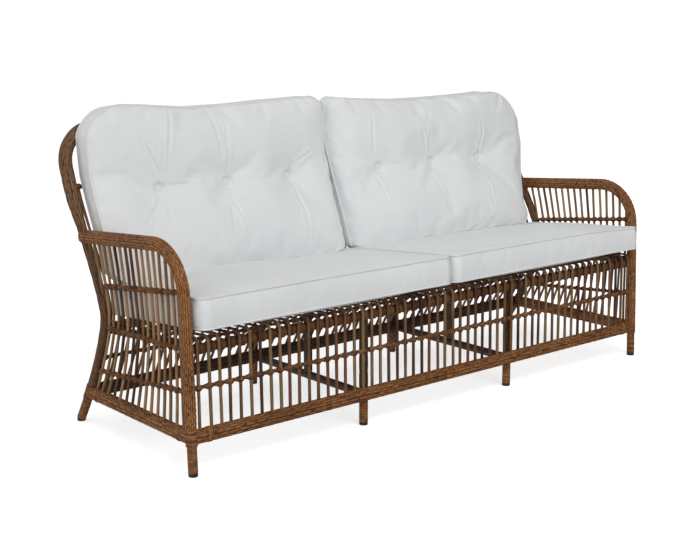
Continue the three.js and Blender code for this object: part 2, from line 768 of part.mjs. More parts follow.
function backCushionFace(x, z, full, buttonXs) {
  const depth = backCushionThickness - innerDraw(x) + backCushionCrown * full * tuft(x, z, buttonXs);
  return backRestY(z) - depth;
}

const buttonRow = (buttonHeight - backCushionFoot) / backCushionHeight;
const backRowShares = [0, 0.03, 0.09, 0.2, 0.32, 0.43, buttonRow, 0.61, 0.7, 0.8, 0.88, 0.94, 0.98, 1];

function backFullness(column, row) {
  return fullness(2 * column - 1) * fullness(2 * row - 1);
}

function backCushion(buttonXs) {
  const width = backCushionReach - cushionGap;
  const [first, second, third] = buttonXs.map((x) => (x - cushionGap) / width);
  const columns = [
    0, 0.018, 0.042, 0.075, 0.12, first, 0.29, 0.39,
    second, 0.56, 0.66, third, 0.83, 0.91, 0.97, 1,
  ];
  const skin = cushionSkin(columns, backRowShares, (column, row, face) => {
    const nominal = cushionGap + column * width;
    const fromTop = backCushionHeight * (1 - row);
    const fromFoot = backCushionHeight * row;
    const inner = cornerDraw(fromTop, backCushionCorner) + cornerDraw(fromFoot, backCushionCorner);
    const outer = cornerDraw(fromTop, backCushionOuterCorner) + cornerDraw(fromFoot, backCushionOuterFoot);
    const draw = drawnIn(row);
    const bulge = face === 0.5 ? boxBulge : 0;
    const from = cushionGap + Math.max(inner, draw) - bulge;
    const to = cushionGap + width - Math.max(outer, draw) + bulge;
    const outermost = Math.min(row, 1 - row) === 0 ? 1 : Math.abs(2 * column - 1) ** edgePower;
    const x = lerp(nominal, lerp(from, to, column), outermost);
    const z = backCushionFoot + row * backCushionHeight + (1 - row) * face * standSlope
      - (row === 1 ? drawnIn(column) : 0);
    const rest = backRestY(z);
    const full = backFullness(column, row);
    const front = backCushionFace(nominal, z, full, buttonXs);
    const depths = [rest, (rest + front) / 2, front];
    return new THREE.Vector3(x, depths[face * 2], z);
  });
  const pockets = buttonXs.map((x) =>
    buttonDisc(x, buttonXs, buttonRadius + clearance, backCushionCrown, clearance));
  return cutBy(skin, pockets);
}

// a button lies in the middle of its tuft; its pocket has the same shape, a little larger
function buttonDisc(x, buttonXs, radius, thickness, deeper) {
  const column = (x - cushionGap) / (backCushionReach - cushionGap);
  const seatY = backCushionFace(x, buttonHeight, backFullness(column, buttonRow), buttonXs);
  const disc = new THREE.CylinderGeometry(radius, radius, thickness, roundSides);
  disc.translate(x, seatY + deeper - thickness / 2, buttonHeight);
  return disc;
}

// the cushions are made for the right side; the left ones are their mirror image
function handed(geometry, sign) {
  if (sign > 0) return geometry;
  const mirrored = geometry.clone().scale(-1, 1, 1);
  const order = mirrored.index.array;
  for (let i = 0; i < order.length; i += 3) [order[i], order[i + 1]] = [order[i + 1], order[i]];
  return mirrored;
}

const buttonPlaces = ['inner', 'middle', 'outer'];
bothSides((side, sign) => {
  const buttonXs = buttonXsAt(sign < 0 ? leftButtonShift : rightButtonShift);
  addPiece(`seat_cushion_${side}`, handed(seatCushion(), sign), fabricFinish);
  addPiece(`back_cushion_${side}`, handed(backCushion(buttonXs), sign), fabricFinish);
  buttonXs.forEach((x, i) => {
    const button = buttonDisc(x, buttonXs, buttonRadius, buttonThickness, 0);
    addPiece(`back_button_${side}_${buttonPlaces[i]}`, handed(button, sign), buttonFinish);
  });
});

// the origin is the middle of the footprint, on the floor
const extent = new THREE.Box3().setFromObject(sofa);
const footprint = extent.getCenter(new THREE.Vector3());
sofa.position.set(-footprint.x, -footprint.y, -extent.min.z);

export default sofa;
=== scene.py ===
import math

import bpy
import numpy as np
from mathutils import Matrix, Vector
from mathutils.bvhtree import BVHTree


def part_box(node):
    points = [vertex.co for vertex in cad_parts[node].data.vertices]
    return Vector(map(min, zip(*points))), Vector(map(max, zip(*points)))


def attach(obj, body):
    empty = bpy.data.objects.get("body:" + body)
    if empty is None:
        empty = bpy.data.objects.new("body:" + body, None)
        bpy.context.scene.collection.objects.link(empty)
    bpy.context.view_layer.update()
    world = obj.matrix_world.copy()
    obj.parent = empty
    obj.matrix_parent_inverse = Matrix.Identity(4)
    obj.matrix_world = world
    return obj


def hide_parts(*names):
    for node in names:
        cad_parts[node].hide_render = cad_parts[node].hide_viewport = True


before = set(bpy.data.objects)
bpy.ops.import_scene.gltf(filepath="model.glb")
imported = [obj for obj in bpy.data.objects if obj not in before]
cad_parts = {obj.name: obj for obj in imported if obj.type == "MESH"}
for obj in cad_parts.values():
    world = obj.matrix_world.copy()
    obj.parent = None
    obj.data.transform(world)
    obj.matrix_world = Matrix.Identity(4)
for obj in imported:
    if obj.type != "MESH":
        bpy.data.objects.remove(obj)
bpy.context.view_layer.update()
print("frame loaded:", len(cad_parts), "nodes")
xAxis, yAxis, zAxis = (1, 0, 0), (0, 1, 0), (0, 0, 1)
sides = {"left": -1, "right": 1}


# small helpers for selecting, editing and finishing
def focus(*pieces):
    if bpy.context.object and bpy.context.object.mode != "OBJECT":
        bpy.ops.object.mode_set(mode="OBJECT")
    bpy.ops.object.select_all(action="DESELECT")
    for piece in pieces:
        piece.select_set(True)
    if pieces:
        bpy.context.view_layer.objects.active = pieces[0]


def editAll(piece):
    focus(piece)
    bpy.ops.object.mode_set(mode="EDIT")
    bpy.ops.mesh.select_all(action="SELECT")


def turnFacesOut():
    bpy.ops.mesh.select_all(action="SELECT")
    bpy.ops.mesh.normals_make_consistent(inside=False)
    bpy.ops.object.mode_set(mode="OBJECT")


def copyOf(piece):
    double = bpy.data.objects.new(piece.name, piece.data.copy())
    bpy.context.scene.collection.objects.link(double)
    return double


def dress(piece, material):
    piece.data.materials.clear()
    piece.data.materials.append(material)
    return piece


def valuesIn(items, key, size=1, kind=float):
    flat = np.empty(len(items) * size, kind)
    items.foreach_get(key, flat)
    return flat.reshape(-1, size) if size > 1 else flat


def placesOf(mesh):
    return valuesIn(mesh.vertices, "co", 3)


def setPlaces(mesh, places):
    mesh.vertices.foreach_set("co", np.asarray(places, float).ravel())
    mesh.update()


def pointValues(mesh, name):
    return valuesIn(mesh.attributes[name].data, "value", 1, np.float32)


def setPointValues(mesh, name, values):
    layer = mesh.attributes.get(name) or mesh.attributes.new(name, "FLOAT", "POINT")
    layer.data.foreach_set("value", np.broadcast_to(values, len(mesh.vertices)).astype(np.float32))


def setPairs(layer, pairs):
    layer.data.foreach_set("uv", pairs.ravel().astype(np.float32))


# joins the parts of one piece, names it, hangs it on the body it rides on and hides the model's parts it
# stands for
def standFor(parts, name, body, slot, *nodes):
    focus(*parts)
    if len(parts) > 1:
        bpy.ops.object.join()
    piece = bpy.context.view_layer.objects.active
    piece.name = name
    piece.data.name = name
    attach(piece, body)
    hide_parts(*nodes)
    return piece


def middleOf(node):
    low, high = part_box(node)
    return (low + high) / 2


# the lines of the frame, in metres: x to the right, y from the front of the panels to the back, z up
lines = {
    "halfSpan": 0.9, "innerLegX": 0.3, "toFrame": middleOf("front_base_rail").y - 0.001,
    "legLean": math.radians(2.45), "footReach": 0.003, "legStart": 0.084, "cornerZ": 0.1,
    "armCorner": 0.591, "bendRadius": 0.128, "armSlope": math.radians(4.6),
    "backHeight": 0.845, "backCorner": 0.105, "waist": 0.335, "waistDepth": 0.421,
    "footSweep": 0.173, "innerReach": 0.008, "innerBend": 0.130, "backSweep": 0.205,
    "panelLean": math.radians(1), "deckSlope": math.radians(4.9),
    "baseRail": 0.101, "baseTop": 0.1205, "seatRail": 0.338,
    "canePitch": 0.0323, "canes": 27, "legRoom": 0.0144, "caneLow": 0.0158, "caneHigh": 0.008,
    "rearSeat": middleOf("rear_seat_rail").y, "innerTop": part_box("rear_inner_leg_left")[1].z,
}


def at(x, y, z):
    return (x, y + lines["toFrame"], z)


def smoothStep(value, low, high):
    share = np.clip((value - low) / (high - low), 0, 1)
    return share * share * (3 - 2 * share)


def frontLegY(z):
    return z * math.tan(lines["legLean"]) - lines["footReach"]


def panelY(z):
    return z * math.tan(lines["panelLean"])


def riseAt(z):
    return min(max((z - lines["waist"]) / (lines["backHeight"] - lines["waist"]), 0), 1)


def rearPostY(z):
    if z < lines["waist"]:
        return lines["waistDepth"] + lines["footSweep"] * (1 - z / lines["waist"]) ** 1.35
    return lines["waistDepth"] + lines["backSweep"] * math.sin(riseAt(z) * math.pi / 2) ** 1.5


def backCaneY(z):
    return rearPostY(z) + lines["caneLow"] + (lines["caneHigh"] - lines["caneLow"]) * riseAt(z)


# the rear inner legs stand behind the base rail and bend forwards to the rail of the seat
def innerLegY(z):
    behindRail = backCaneY(lines["baseTop"]) + 2 * lines["legRoom"]
    reach = lines["innerReach"] * max(0, 1 - z / lines["baseRail"])
    ahead = behindRail - (lines["rearSeat"] - lines["toFrame"])
    return behindRail - ahead * smoothStep(z, lines["innerBend"], lines["innerTop"]) + reach


# each arm bends over from its leg: where the bend starts, its centre and where it ends
armCornerY = frontLegY(lines["armCorner"])
bendTurn = math.pi / 2 + lines["armSlope"] - lines["legLean"]
bendReach = lines["bendRadius"] * math.tan(bendTurn / 2)
bendStart = (armCornerY - bendReach * math.sin(lines["legLean"]),
             lines["armCorner"] - bendReach * math.cos(lines["legLean"]))
bendCentre = (bendStart[0] + lines["bendRadius"] * math.cos(lines["legLean"]),
              bendStart[1] - lines["bendRadius"] * math.sin(lines["legLean"]))
bendEnd = armCornerY + bendReach * math.cos(lines["armSlope"])

# the canes of the skirt bend over the front seat rail and run on as the deck
overTurn = math.pi / 2 + lines["deckSlope"] - lines["panelLean"]
overRadius = 0.01737
seatRailY = panelY(lines["seatRail"]) + overRadius / math.cos(lines["panelLean"])
deckStart = (seatRailY + overRadius * math.sin(lines["deckSlope"]),
             lines["seatRail"] + overRadius * math.cos(lines["deckSlope"]))
caneXs = [i * lines["canePitch"] for i in range(-lines["canes"], lines["canes"] + 1)]


def armZ(y):
    return lines["armCorner"] - (y - armCornerY) * math.tan(lines["armSlope"])


def deckZ(y):
    return deckStart[1] - (y - deckStart[0]) * math.tan(lines["deckSlope"])


# the camera stands where the photograph was taken from
view = {"place": (-2.486, lines["toFrame"] - 2.489952, 1.124), "yaw": 39.82, "pitch": 11.62, "roll": -0.15,
        "focal": 1215.14, "width": 680, "height": 550, "sensor": 36}


def setCamera():
    focus()
    bpy.ops.object.camera_add(location=view["place"])
    camera = bpy.context.object
    camera.name = "photo_camera"
    camera.data.sensor_width = view["sensor"]
    camera.data.lens = view["focal"] / view["width"] * view["sensor"]
    turn = Matrix.Rotation(math.radians(-view["yaw"]), 4, "Z")
    tilt = Matrix.Rotation(math.radians(90 - view["pitch"]), 4, "X")
    roll = Matrix.Rotation(math.radians(view["roll"]), 4, "Z")
    camera.matrix_world = Matrix.Translation(view["place"]) @ turn @ tilt @ roll
    bpy.context.scene.camera = camera
    return camera


camera = setCamera()
bpy.context.view_layer.update()


def photoRay(px, py):
    ray = Vector(((px - view["width"] / 2) / view["focal"], (view["height"] / 2 - py) / view["focal"], -1))
    return (camera.matrix_world.to_3x3() @ ray).normalized()


# materials
def newMaterial(name):
    material = bpy.data.materials.new(name)
    material.use_nodes = True
    tree = material.node_tree
    tree.nodes.clear()
    shader = tree.nodes.new("ShaderNodeBsdfPrincipled")
    output = tree.nodes.new("ShaderNodeOutputMaterial")
    tree.links.new(shader.outputs[0], output.inputs[0])
    return material, tree, shader


def addNode(tree, kind, settings=None, inputs=None):
    node = tree.nodes.new(kind)
    for key, value in (settings or {}).items():
        setattr(node, key, value)
    for key, value in (inputs or {}).items():
        if isinstance(value, bpy.types.NodeSocket):
            tree.links.new(value, node.inputs[key])
        else:
            node.inputs[key].default_value = value
    return node.outputs


def maths(tree, operation, *values):
    return addNode(tree, "ShaderNodeMath", {"operation": operation}, dict(enumerate(values)))[0]


def vectorMaths(tree, operation, inputs, output=0):
    return addNode(tree, "ShaderNodeVectorMath", {"operation": operation}, inputs)[output]


def span(tree, value, fromLow, fromHigh, toLow, toHigh):
    inputs = {0: value, 1: fromLow, 2: fromHigh, 3: toLow, 4: toHigh}
    return addNode(tree, "ShaderNodeMapRange", None, inputs)[0]


# most of a noise lies between 0.3 and 0.7
def noiseSpan(tree, value, toLow, toHigh):
    return span(tree, value, 0.3, 0.7, toLow, toHigh)


def noise(tree, vector, scale, detail, rough=0.5):
    return addNode(tree, "ShaderNodeTexNoise", None,
                   {"Vector": vector, "Scale": scale, "Detail": detail, "Roughness": rough})[0]


def placeNoise(tree, scale, detail, rough=0.5):
    return noise(tree, addNode(tree, "ShaderNodeTexCoord")["Object"], scale, detail, rough)


def streaksAlong(tree, strands, factors):
    return noise(tree, vectorMaths(tree, "MULTIPLY", {0: strands, 1: factors}), 1.0, 3.0, 0.6)


def pieceMap(tree, name):
    return addNode(tree, "ShaderNodeUVMap", {"uv_map": name})[0]


def pieceValue(tree, name):
    return addNode(tree, "ShaderNodeAttribute", {"attribute_name": name})["Fac"]


def ramp(tree, factor, stops):
    tone = addNode(tree, "ShaderNodeValToRGB", None, {0: factor})[0]
    elements = tone.node.color_ramp.elements
    while len(elements) < len(stops):
        elements.new(0.5)
    for element, (place, colour) in zip(elements, stops):
        element.position = place
        element.color = colour
    return tone


def shaded(tree, tone, tones, shade):
    return vectorMaths(tree, "SCALE", {0: ramp(tree, tone, tones), "Scale": shade})


def finishShader(tree, shader, colour, rough, shine, height, strength, distance):
    normal = addNode(tree, "ShaderNodeBump", None,
                     {"Height": height, "Strength": strength, "Distance": distance})[0]
    for key, socket in (("Base Color", colour), ("Roughness", rough), ("Normal", normal)):
        tree.links.new(socket, shader.inputs[key])
    shader.inputs["Specular IOR Level"].default_value = shine


def linear(red, green, blue):
    tone = [value / 255 for value in (red, green, blue)]
    return tuple(((v + 0.055) / 1.055) ** 2.4 if v > 0.04045 else v / 12.92 for v in tone) + (1.0,)


def stopsOf(*rows):
    return [(place, linear(*tone)) for place, *tone in rows]


weaveTones = stopsOf((0.0, 88, 54, 30), (0.25, 122, 78, 42), (0.5, 150, 98, 56), (0.75, 172, 118, 68),
                     (1.0, 182, 142, 90))
# a darker, greyer brown palette for the back loop and the rear posts, and the base of the painted shade on
# the parts under the seat
darkerTones = stopsOf((0.0, 64, 40, 25), (0.25, 98, 67, 43), (0.5, 124, 88, 58), (0.75, 143, 107, 73),
                    (1.0, 160, 128, 92))
skirtTones = stopsOf((0.0, 36, 20, 12), (0.2, 78, 46, 30), (0.36, 116, 84, 54), (0.5, 104, 58, 38),
                     (0.64, 134, 108, 74), (0.8, 112, 92, 60), (1.0, 166, 128, 92))
caneTones = stopsOf((0.0, 38, 24, 15), (0.2, 86, 56, 34), (0.36, 140, 98, 62), (0.5, 124, 100, 66),
                    (0.66, 172, 130, 94), (0.82, 150, 116, 76), (1.0, 196, 158, 118))


# flat strands: each stitch has a tone of its own, and painted shade darkens the crevices between them
def strandMaterial(name, tones, creviceShade, gain=1.0, fine=(2.0, 1.9)):
    material, tree, shader = newMaterial(name)
    strands = pieceMap(tree, "strands")
    parts = addNode(tree, "ShaderNodeSeparateXYZ", None, {0: strands})
    cells = {axis: maths(tree, "FLOOR", maths(tree, "MULTIPLY", parts[axis], fine[axis])) for axis in (0, 1)}
    cell = addNode(tree, "ShaderNodeCombineXYZ", None, cells)[0]
    stitch = addNode(tree, "ShaderNodeTexWhiteNoise", {"noise_dimensions": "2D"}, {"Vector": cell})[0]
    fibre = streaksAlong(tree, strands, (7.0, 1.3, 1.0))
    tone = maths(tree, "ADD", maths(tree, "MULTIPLY", stitch, 0.5), noiseSpan(tree, fibre, 0.0, 0.3))
    tone = maths(tree, "ADD", tone, noiseSpan(tree, placeNoise(tree, 5.0, 2.0), -0.06, 0.16))
    speck = span(tree, stitch, 0.06, 0.14, 0.72, 1.0)
    # painted shade: the colour drops where a strand sinks into the crevices between strands
    depth = span(tree, pieceValue(tree, "lift"), 0.0, 0.8, creviceShade * gain, gain)
    shade = maths(tree, "MULTIPLY", depth, speck)
    finishShader(tree, shader, shaded(tree, tone, tones, shade), noiseSpan(tree, fibre, 0.46, 0.66), 0.25,
                 fibre, 0.6, 0.0008)
    return material


# round canes and poles: each has its own tone, with streaks along it
def caneMaterial(name, tones, gain=1.0):
    material, tree, shader = newMaterial(name)
    streak = streaksAlong(tree, pieceMap(tree, "strands"), (9.0, 0.8, 1.0))
    own = maths(tree, "MULTIPLY", pieceValue(tree, "tone"), 0.7)
    tone = maths(tree, "ADD", own, noiseSpan(tree, streak, -0.02, 0.2))
    tone = maths(tree, "ADD", tone, noiseSpan(tree, placeNoise(tree, 9.0, 3.0, 0.6), -0.08, 0.14))
    shade = maths(tree, "MULTIPLY", span(tree, pieceValue(tree, "lift"), 0.0, 1.0, 0.45, 1.0), gain)
    finishShader(tree, shader, shaded(tree, tone, tones, shade), noiseSpan(tree, streak, 0.34, 0.54), 0.3,
                 streak, 0.4, 0.0005)
    return material


# plain woven cloth: threads both ways, with slubs
def fabricMaterial(name, colour, lowColour, thread=0.0016):
    material, tree, shader = newMaterial(name)
    parts = addNode(tree, "ShaderNodeSeparateXYZ", None, {0: pieceMap(tree, "cloth")})
    weft, warp = (maths(tree, "SINE", maths(tree, "MULTIPLY", parts[axis], 2 * math.pi / thread))
                  for axis in (0, 1))
    slub, cloud = placeNoise(tree, 420.0, 2.0), placeNoise(tree, 6.0, 3.0)
    height = maths(tree, "ADD", maths(tree, "MULTIPLY", weft, warp), noiseSpan(tree, slub, -0.8, 0.8))
    shade = maths(tree, "ADD", noiseSpan(tree, cloud, 0.0, 0.7), noiseSpan(tree, slub, 0.0, 0.3))
    shader.inputs["Sheen Weight"].default_value = 0.25
    shader.inputs["Sheen Roughness"].default_value = 0.5
    finishShader(tree, shader, ramp(tree, shade, [(0.0, linear(*lowColour)), (1.0, linear(*colour))]),
                 noiseSpan(tree, slub, 0.84, 0.96), 0.25, height, 0.35, 0.0004)
    return material


def glideMaterial(name):
    material, tree, shader = newMaterial(name)
    grain, scuff = placeNoise(tree, 900.0, 3.0), placeNoise(tree, 60.0, 3.0)
    finishShader(tree, shader, ramp(tree, scuff, stopsOf((0.35, 20, 20, 22), (0.75, 42, 41, 41))),
                 noiseSpan(tree, grain, 0.45, 0.65), 0.5, grain, 0.3, 0.0002)
    return material


weaveFinish = strandMaterial("woven_rattan", weaveTones, 0.22)
# the back loop and the rear posts: the darker palette at 0.86 brightness, partly the strands' own darker,
# streaked colour and partly painted shade
loopFinish = strandMaterial("woven_loop", darkerTones, 0.22, 0.86, (2.0, 0.7))
railFinish = strandMaterial("woven_rail", weaveTones, 0.2, 0.92)
wrapFinish = strandMaterial("wound_rattan", weaveTones, 0.3, 0.85, (1.0, 1.0))
boundFinish = strandMaterial("bound_rattan", weaveTones, 0.2, 0.46, (1.0, 1.0))
# painted shade: the rear base rail and the inner legs under the seat take the darker palette at half
# brightness
shadedFinish = strandMaterial("shaded_weave", darkerTones, 0.2, 0.5)
twineFinish = strandMaterial("dark_twine", weaveTones, 0.2, 0.58, (1.0, 1.0))
# painted shade: the poles under the seat take the canes' tones darkened to three tenths of their brightness
poleFinish = caneMaterial("dark_pole", caneTones, 0.3)
caneFinish = caneMaterial("rattan_cane", caneTones)
skirtFinish = caneMaterial("skirt_cane", skirtTones)
clothFinish = fabricMaterial("white_cloth", (234, 236, 236), (226, 228, 229))
pipingFinish = fabricMaterial("white_piping", (230, 231, 232), (220, 222, 224))
glideFinish = glideMaterial("black_foot")
print("materials made")

# how the surface of each kind of piece is laid: floats are strands along it, wraps go round and round
weave = {
    "arm": {"kind": "floats", "strand": 0.0064, "float": 0.016, "ring": 0.0030, "depth": 0.0016,
            "power": 2.3},
    "loop": {"kind": "floats", "strand": 0.0068, "float": 0.05, "ring": 0.0050, "depth": 0.0014},
    "rail": {"kind": "floats", "strand": 0.0068, "float": 0.034, "ring": 0.0048, "depth": 0.0017,
             "power": 2.6},
    "leg": {"kind": "floats", "strand": 0.0068, "float": 0.05, "ring": 0.0050, "depth": 0.0014},
    "coil": {"kind": "wraps", "pitch": 0.006, "sides": 20, "depth": 0.0014},
    "winding": {"kind": "wraps", "pitch": 0.0062, "sides": 28, "depth": 0.0018, "power": 2.6},
    "binding": {"kind": "wraps", "pitch": 0.0056, "sides": 16, "depth": 0.0016},
    "twine": {"kind": "wraps", "pitch": 0.0084, "sides": 12, "depth": 0.0016, "slant": 2},
    "pole": {"kind": "smooth", "sides": 16, "ring": 0.004, "nodes": 0.13},
    "piping": {"kind": "smooth", "sides": 10, "ring": 0.007},
}
streakLength = 0.06
growthRing = {"width": 0.0035, "height": 0.0011, "dark": 0.45, "darkAt": 0.002, "darkWidth": 0.0016}


def humped(share):
    return np.sqrt(np.clip(1 - (2 * share - 1) ** 2, 0, 1))


def axesAcross(tangent, reference):
    tangent = tangent / np.linalg.norm(tangent, axis=1)[:, None]
    side = reference - (tangent @ reference)[:, None] * tangent
    side /= np.linalg.norm(side, axis=1)[:, None]
    return side, np.cross(tangent, side)


# a tube over a line: a flat grid rolled up around it, with strands, windings or growth rings raised on it
def rolled(points, across, up, reference, pattern, material, seed=0, closed=False):
    rng = np.random.default_rng(seed)
    points = np.asarray(points, float)
    reach = np.concatenate([[0.0], np.cumsum(np.linalg.norm(np.diff(points, axis=0), axis=1))])
    total = reach[-1]
    tangent = np.gradient(points, reach, axis=0)
    if closed:
        tangent[0] = tangent[-1] = points[1] - points[-2]
    side, over = axesAcross(tangent, np.asarray(reference, float))
    across, up = (np.broadcast_to(np.asarray(half, float), len(points)) for half in (across, up))
    girth = 2 * math.pi * float(np.sqrt((across ** 2 + up ** 2) / 2).mean())
    kind = pattern["kind"]
    if kind == "floats":
        strandCount = 2 * max(3, round(girth / pattern["strand"] / 2))
        columns, rows = strandCount * 4, max(4, round(total / pattern["ring"]))
    elif kind == "wraps":
        wrapCount = max(1, round(total / pattern["pitch"]))
        columns, rows = pattern["sides"], wrapCount * 4
    else:
        columns, rows = pattern["sides"], max(2, round(total / pattern["ring"]))
    focus()
    bpy.ops.mesh.primitive_grid_add(x_subdivisions=columns, y_subdivisions=rows, size=2, calc_uvs=False)
    piece = bpy.context.object
    mesh = piece.data
    flat = placesOf(mesh)
    u, v = (flat[:, 0] + 1) / 2, (flat[:, 1] + 1) / 2
    along = v * total
    corner = valuesIn(mesh.loops, "vertex_index", 1, int)
    faceU, faceAlong = u[corner].reshape(-1, 4), along[corner].reshape(-1, 4)
    if kind == "floats":
        slip = 0.5 * (np.arange(strandCount) % 2) + rng.uniform(-0.09, 0.09, strandCount)
        strand = np.floor(u * strandCount + 1e-6)
        passing = along / pattern["float"] + slip[strand.astype(int) % strandCount]
        ends = np.abs(2 * (passing - np.floor(passing)) - 1)
        lift = humped(u * strandCount - strand) * (1 - 0.8 * ends ** 5)
        grow = -pattern["depth"] * (1 - lift)
        faceStrand = np.floor(faceU.mean(1) * strandCount)
        first = faceU * strandCount
        second = faceAlong / pattern["float"] + slip[faceStrand.astype(int) % strandCount][:, None]
    elif kind == "wraps":
        slant = pattern.get("slant", 0)
        lift = humped((along / total * wrapCount + slant * u) % 1.0)
        lift = np.where((v < 1e-6) | (v > 1 - 1e-6), 0.0, lift)
        grow = -pattern["depth"] * (1 - lift)
        first = faceAlong / total * wrapCount + slant * faceU
        second = faceU * max(1, round(girth / (streakLength / 2)))
    else:
        lift, ring = np.ones(len(u)), np.zeros(len(u))
        if "nodes" in pattern:
            knots = np.arange(rng.uniform(0.2, 0.8) * pattern["nodes"], total, pattern["nodes"])
            knots = knots + rng.uniform(-0.2, 0.2, len(knots)) * pattern["nodes"]
            near = np.abs(along[:, None] - knots[None, :]).min(1) if len(knots) else np.full(len(u), 9.0)
            ring = np.exp(-(near / growthRing["width"]) ** 2)
            past = (near - growthRing["darkAt"]) / growthRing["darkWidth"]
            lift = 1 - growthRing["dark"] * np.exp(-past ** 2)
        grow = growthRing["height"] * ring
        first, second = faceU * 4, faceAlong / streakLength

    def alongLine(values):
        return np.stack([np.interp(along, reach, values[:, axis]) for axis in range(3)], 1)

    def squared(wave):
        return np.sign(wave) * np.abs(wave) ** (2 / pattern.get("power", 2.0))

    turn = 2 * math.pi * u
    halfAcross, halfUp = (np.interp(along, reach, half) + grow for half in (across, up))
    setPlaces(mesh, alongLine(points) + alongLine(side) * (squared(np.cos(turn)) * halfAcross)[:, None]
              + alongLine(over) * (squared(np.sin(turn)) * halfUp)[:, None])
    # how high each point stands: the strand materials paint shade from it into the crevices; on poles it
    # carries the darker growth rings
    setPointValues(mesh, "lift", lift)
    setPointValues(mesh, "tone", rng.uniform(0.2, 0.8))
    pairs = np.stack([first.ravel() + 13.0 * (seed % 50), second.ravel() + 7.0 * (seed % 37)], 1)
    setPairs(mesh.uv_layers.new(name="strands"), pairs)
    editAll(piece)
    bpy.ops.mesh.remove_doubles(threshold=0.00002)
    if not closed:
        bpy.ops.mesh.select_all(action="SELECT")
        bpy.ops.mesh.fill_holes(sides=0)
    turnFacesOut()
    bpy.ops.object.shade_smooth_by_angle(angle=math.radians(70))
    return dress(piece, material)


# legs: a woven sleeve, wound at the foot and where the base rails meet it
legs = {"foot": (0.0092, 0.086, 12), "corner": (0.079, 0.123, 8), "footHalf": 0.0132, "cornerSwell": 0.0016,
        "front": 0.013, "frontSwell": 0.0025, "frontRise": (0, 0.2), "post": 0.0135, "postSwell": 0.006,
        "postRise": (0.56, 0.66), "postCorner": 0.0137, "postTop": 0.7402, "inner": 0.013, "innerPast": 0.004}


def legHalf(z):
    return legs["front"] + legs["frontSwell"] * smoothStep(z, *legs["frontRise"])


def postHalf(z):
    return legs["post"] + legs["postSwell"] * smoothStep(z, *legs["postRise"])


def wound(spot, x, lineY, half, seed):
    points = [at(x, lineY(z), z) for z in np.linspace(*legs[spot])]
    return rolled(points, half, half, xAxis, weave["coil"], wrapFinish, seed)


# arms: up the front leg, round the bend and back to the rear post
arm = {"bendHalf": 0.0155, "wide": 0.015, "tall": 0.019, "flare": 0.0015, "endHeight": 0.56, "endPast": 0.002}


def armLine(x):
    line = [(frontLegY(z), z, legHalf(z), legHalf(z))
            for z in np.linspace(lines["legStart"], bendStart[1], 40)]
    for step in np.linspace(0, 1, 28)[1:]:
        angle = math.pi - lines["legLean"] - bendTurn * step
        wide, tall = (arm["bendHalf"] + (arm[key] - arm["bendHalf"]) * step for key in ("wide", "tall"))
        line.append((bendCentre[0] + lines["bendRadius"] * math.cos(angle),
                     bendCentre[1] + lines["bendRadius"] * math.sin(angle), wide, tall))
    endY = rearPostY(arm["endHeight"]) + arm["endPast"]
    fromY = line[-1][0]
    for step in np.linspace(0, 1, 40)[1:]:
        y = fromY + (endY - fromY) * step
        line.append((y, armZ(y), arm["wide"] + arm["flare"] * max(step - 0.8, 0) * 5, arm["tall"]))
    ys, zs, wide, tall = zip(*line)
    return [at(x, y, z) for y, z in zip(ys, zs)], wide, tall


for side, sign in sides.items():
    x = sign * lines["halfSpan"]
    points, wide, tall = armLine(x)
    parts = [rolled(points, wide, tall, xAxis, weave["arm"], weaveFinish, 3 + sign),
             wound("foot", x, frontLegY, legs["footHalf"], 5 + sign),
             wound("corner", x, frontLegY, legHalf(lines["cornerZ"]) + legs["cornerSwell"], 7 + sign)]
    standFor(parts, f"{side}_woven_arm", "frame", "weave", f"{side}_arm_frame")
    heights = np.linspace(lines["legStart"], legs["postTop"], 106)
    points = [at(x, rearPostY(z), z) for z in heights]
    half = [postHalf(z) for z in heights]
    parts = [rolled(points, half, half, yAxis, weave["leg"], loopFinish, 11 + sign),
             wound("foot", x, rearPostY, legs["footHalf"], 13 + sign),
             wound("corner", x, rearPostY, legs["postCorner"] + legs["cornerSwell"], 15 + sign)]
    standFor(parts, f"{side}_woven_post", "frame", "weave", f"{side}_rear_post")


# the loop of the back: round each top corner and across
loop = {"half": 0.0195, "start": 0.7403, "straight": 0.785}


def loopLine():
    radius = lines["backCorner"]
    corner = [(lines["halfSpan"] - radius * (1 - math.cos(turn)),
               loop["start"] + radius * math.sin(turn) * 0.9997)
              for turn in np.linspace(0, math.pi / 2, 30)]
    half = [at(x, rearPostY(z), z) for x, z in corner]
    straight = [(x, half[-1][1], half[-1][2]) for x in np.linspace(loop["straight"], -loop["straight"], 80)]
    return half + straight + [(-x, y, z) for x, y, z in reversed(half)]


standFor([rolled(loopLine(), loop["half"], loop["half"], yAxis, weave["loop"], loopFinish, 21)],
         "woven_back_loop", "frame", "weave", "back_top_rail")

# base rails, with a winding close to each leg
baseRail = {"wide": 0.0195, "tall": 0.013, "swell": 0.0013, "windingAt": 0.045, "windingHalf": 0.0062,
            "halfLength": 0.893, "frontPast": 0.006, "rearPast": 0.004}


def makeBaseRail(node, start, end, seed, finish=railFinish):
    start, end = Vector(start), Vector(end)
    length = (end - start).length
    reach = (end - start).normalized() * baseRail["windingHalf"]
    line = [start.lerp(end, share) for share in np.linspace(0, 1, 60)]
    parts = [rolled(line, baseRail["wide"], baseRail["tall"], zAxis, weave["rail"], finish, seed)]
    wide, tall = (baseRail[key] + baseRail["swell"] for key in ("wide", "tall"))
    for along in (baseRail["windingAt"], length - baseRail["windingAt"]):
        spot = start.lerp(end, along / length)
        parts.append(rolled([spot - reach, spot, spot + reach], wide, tall, zAxis,
                            weave["winding"], wrapFinish, seed + 1))
    standFor(parts, "woven_" + node.replace("_base", ""), "frame", "weave", node)


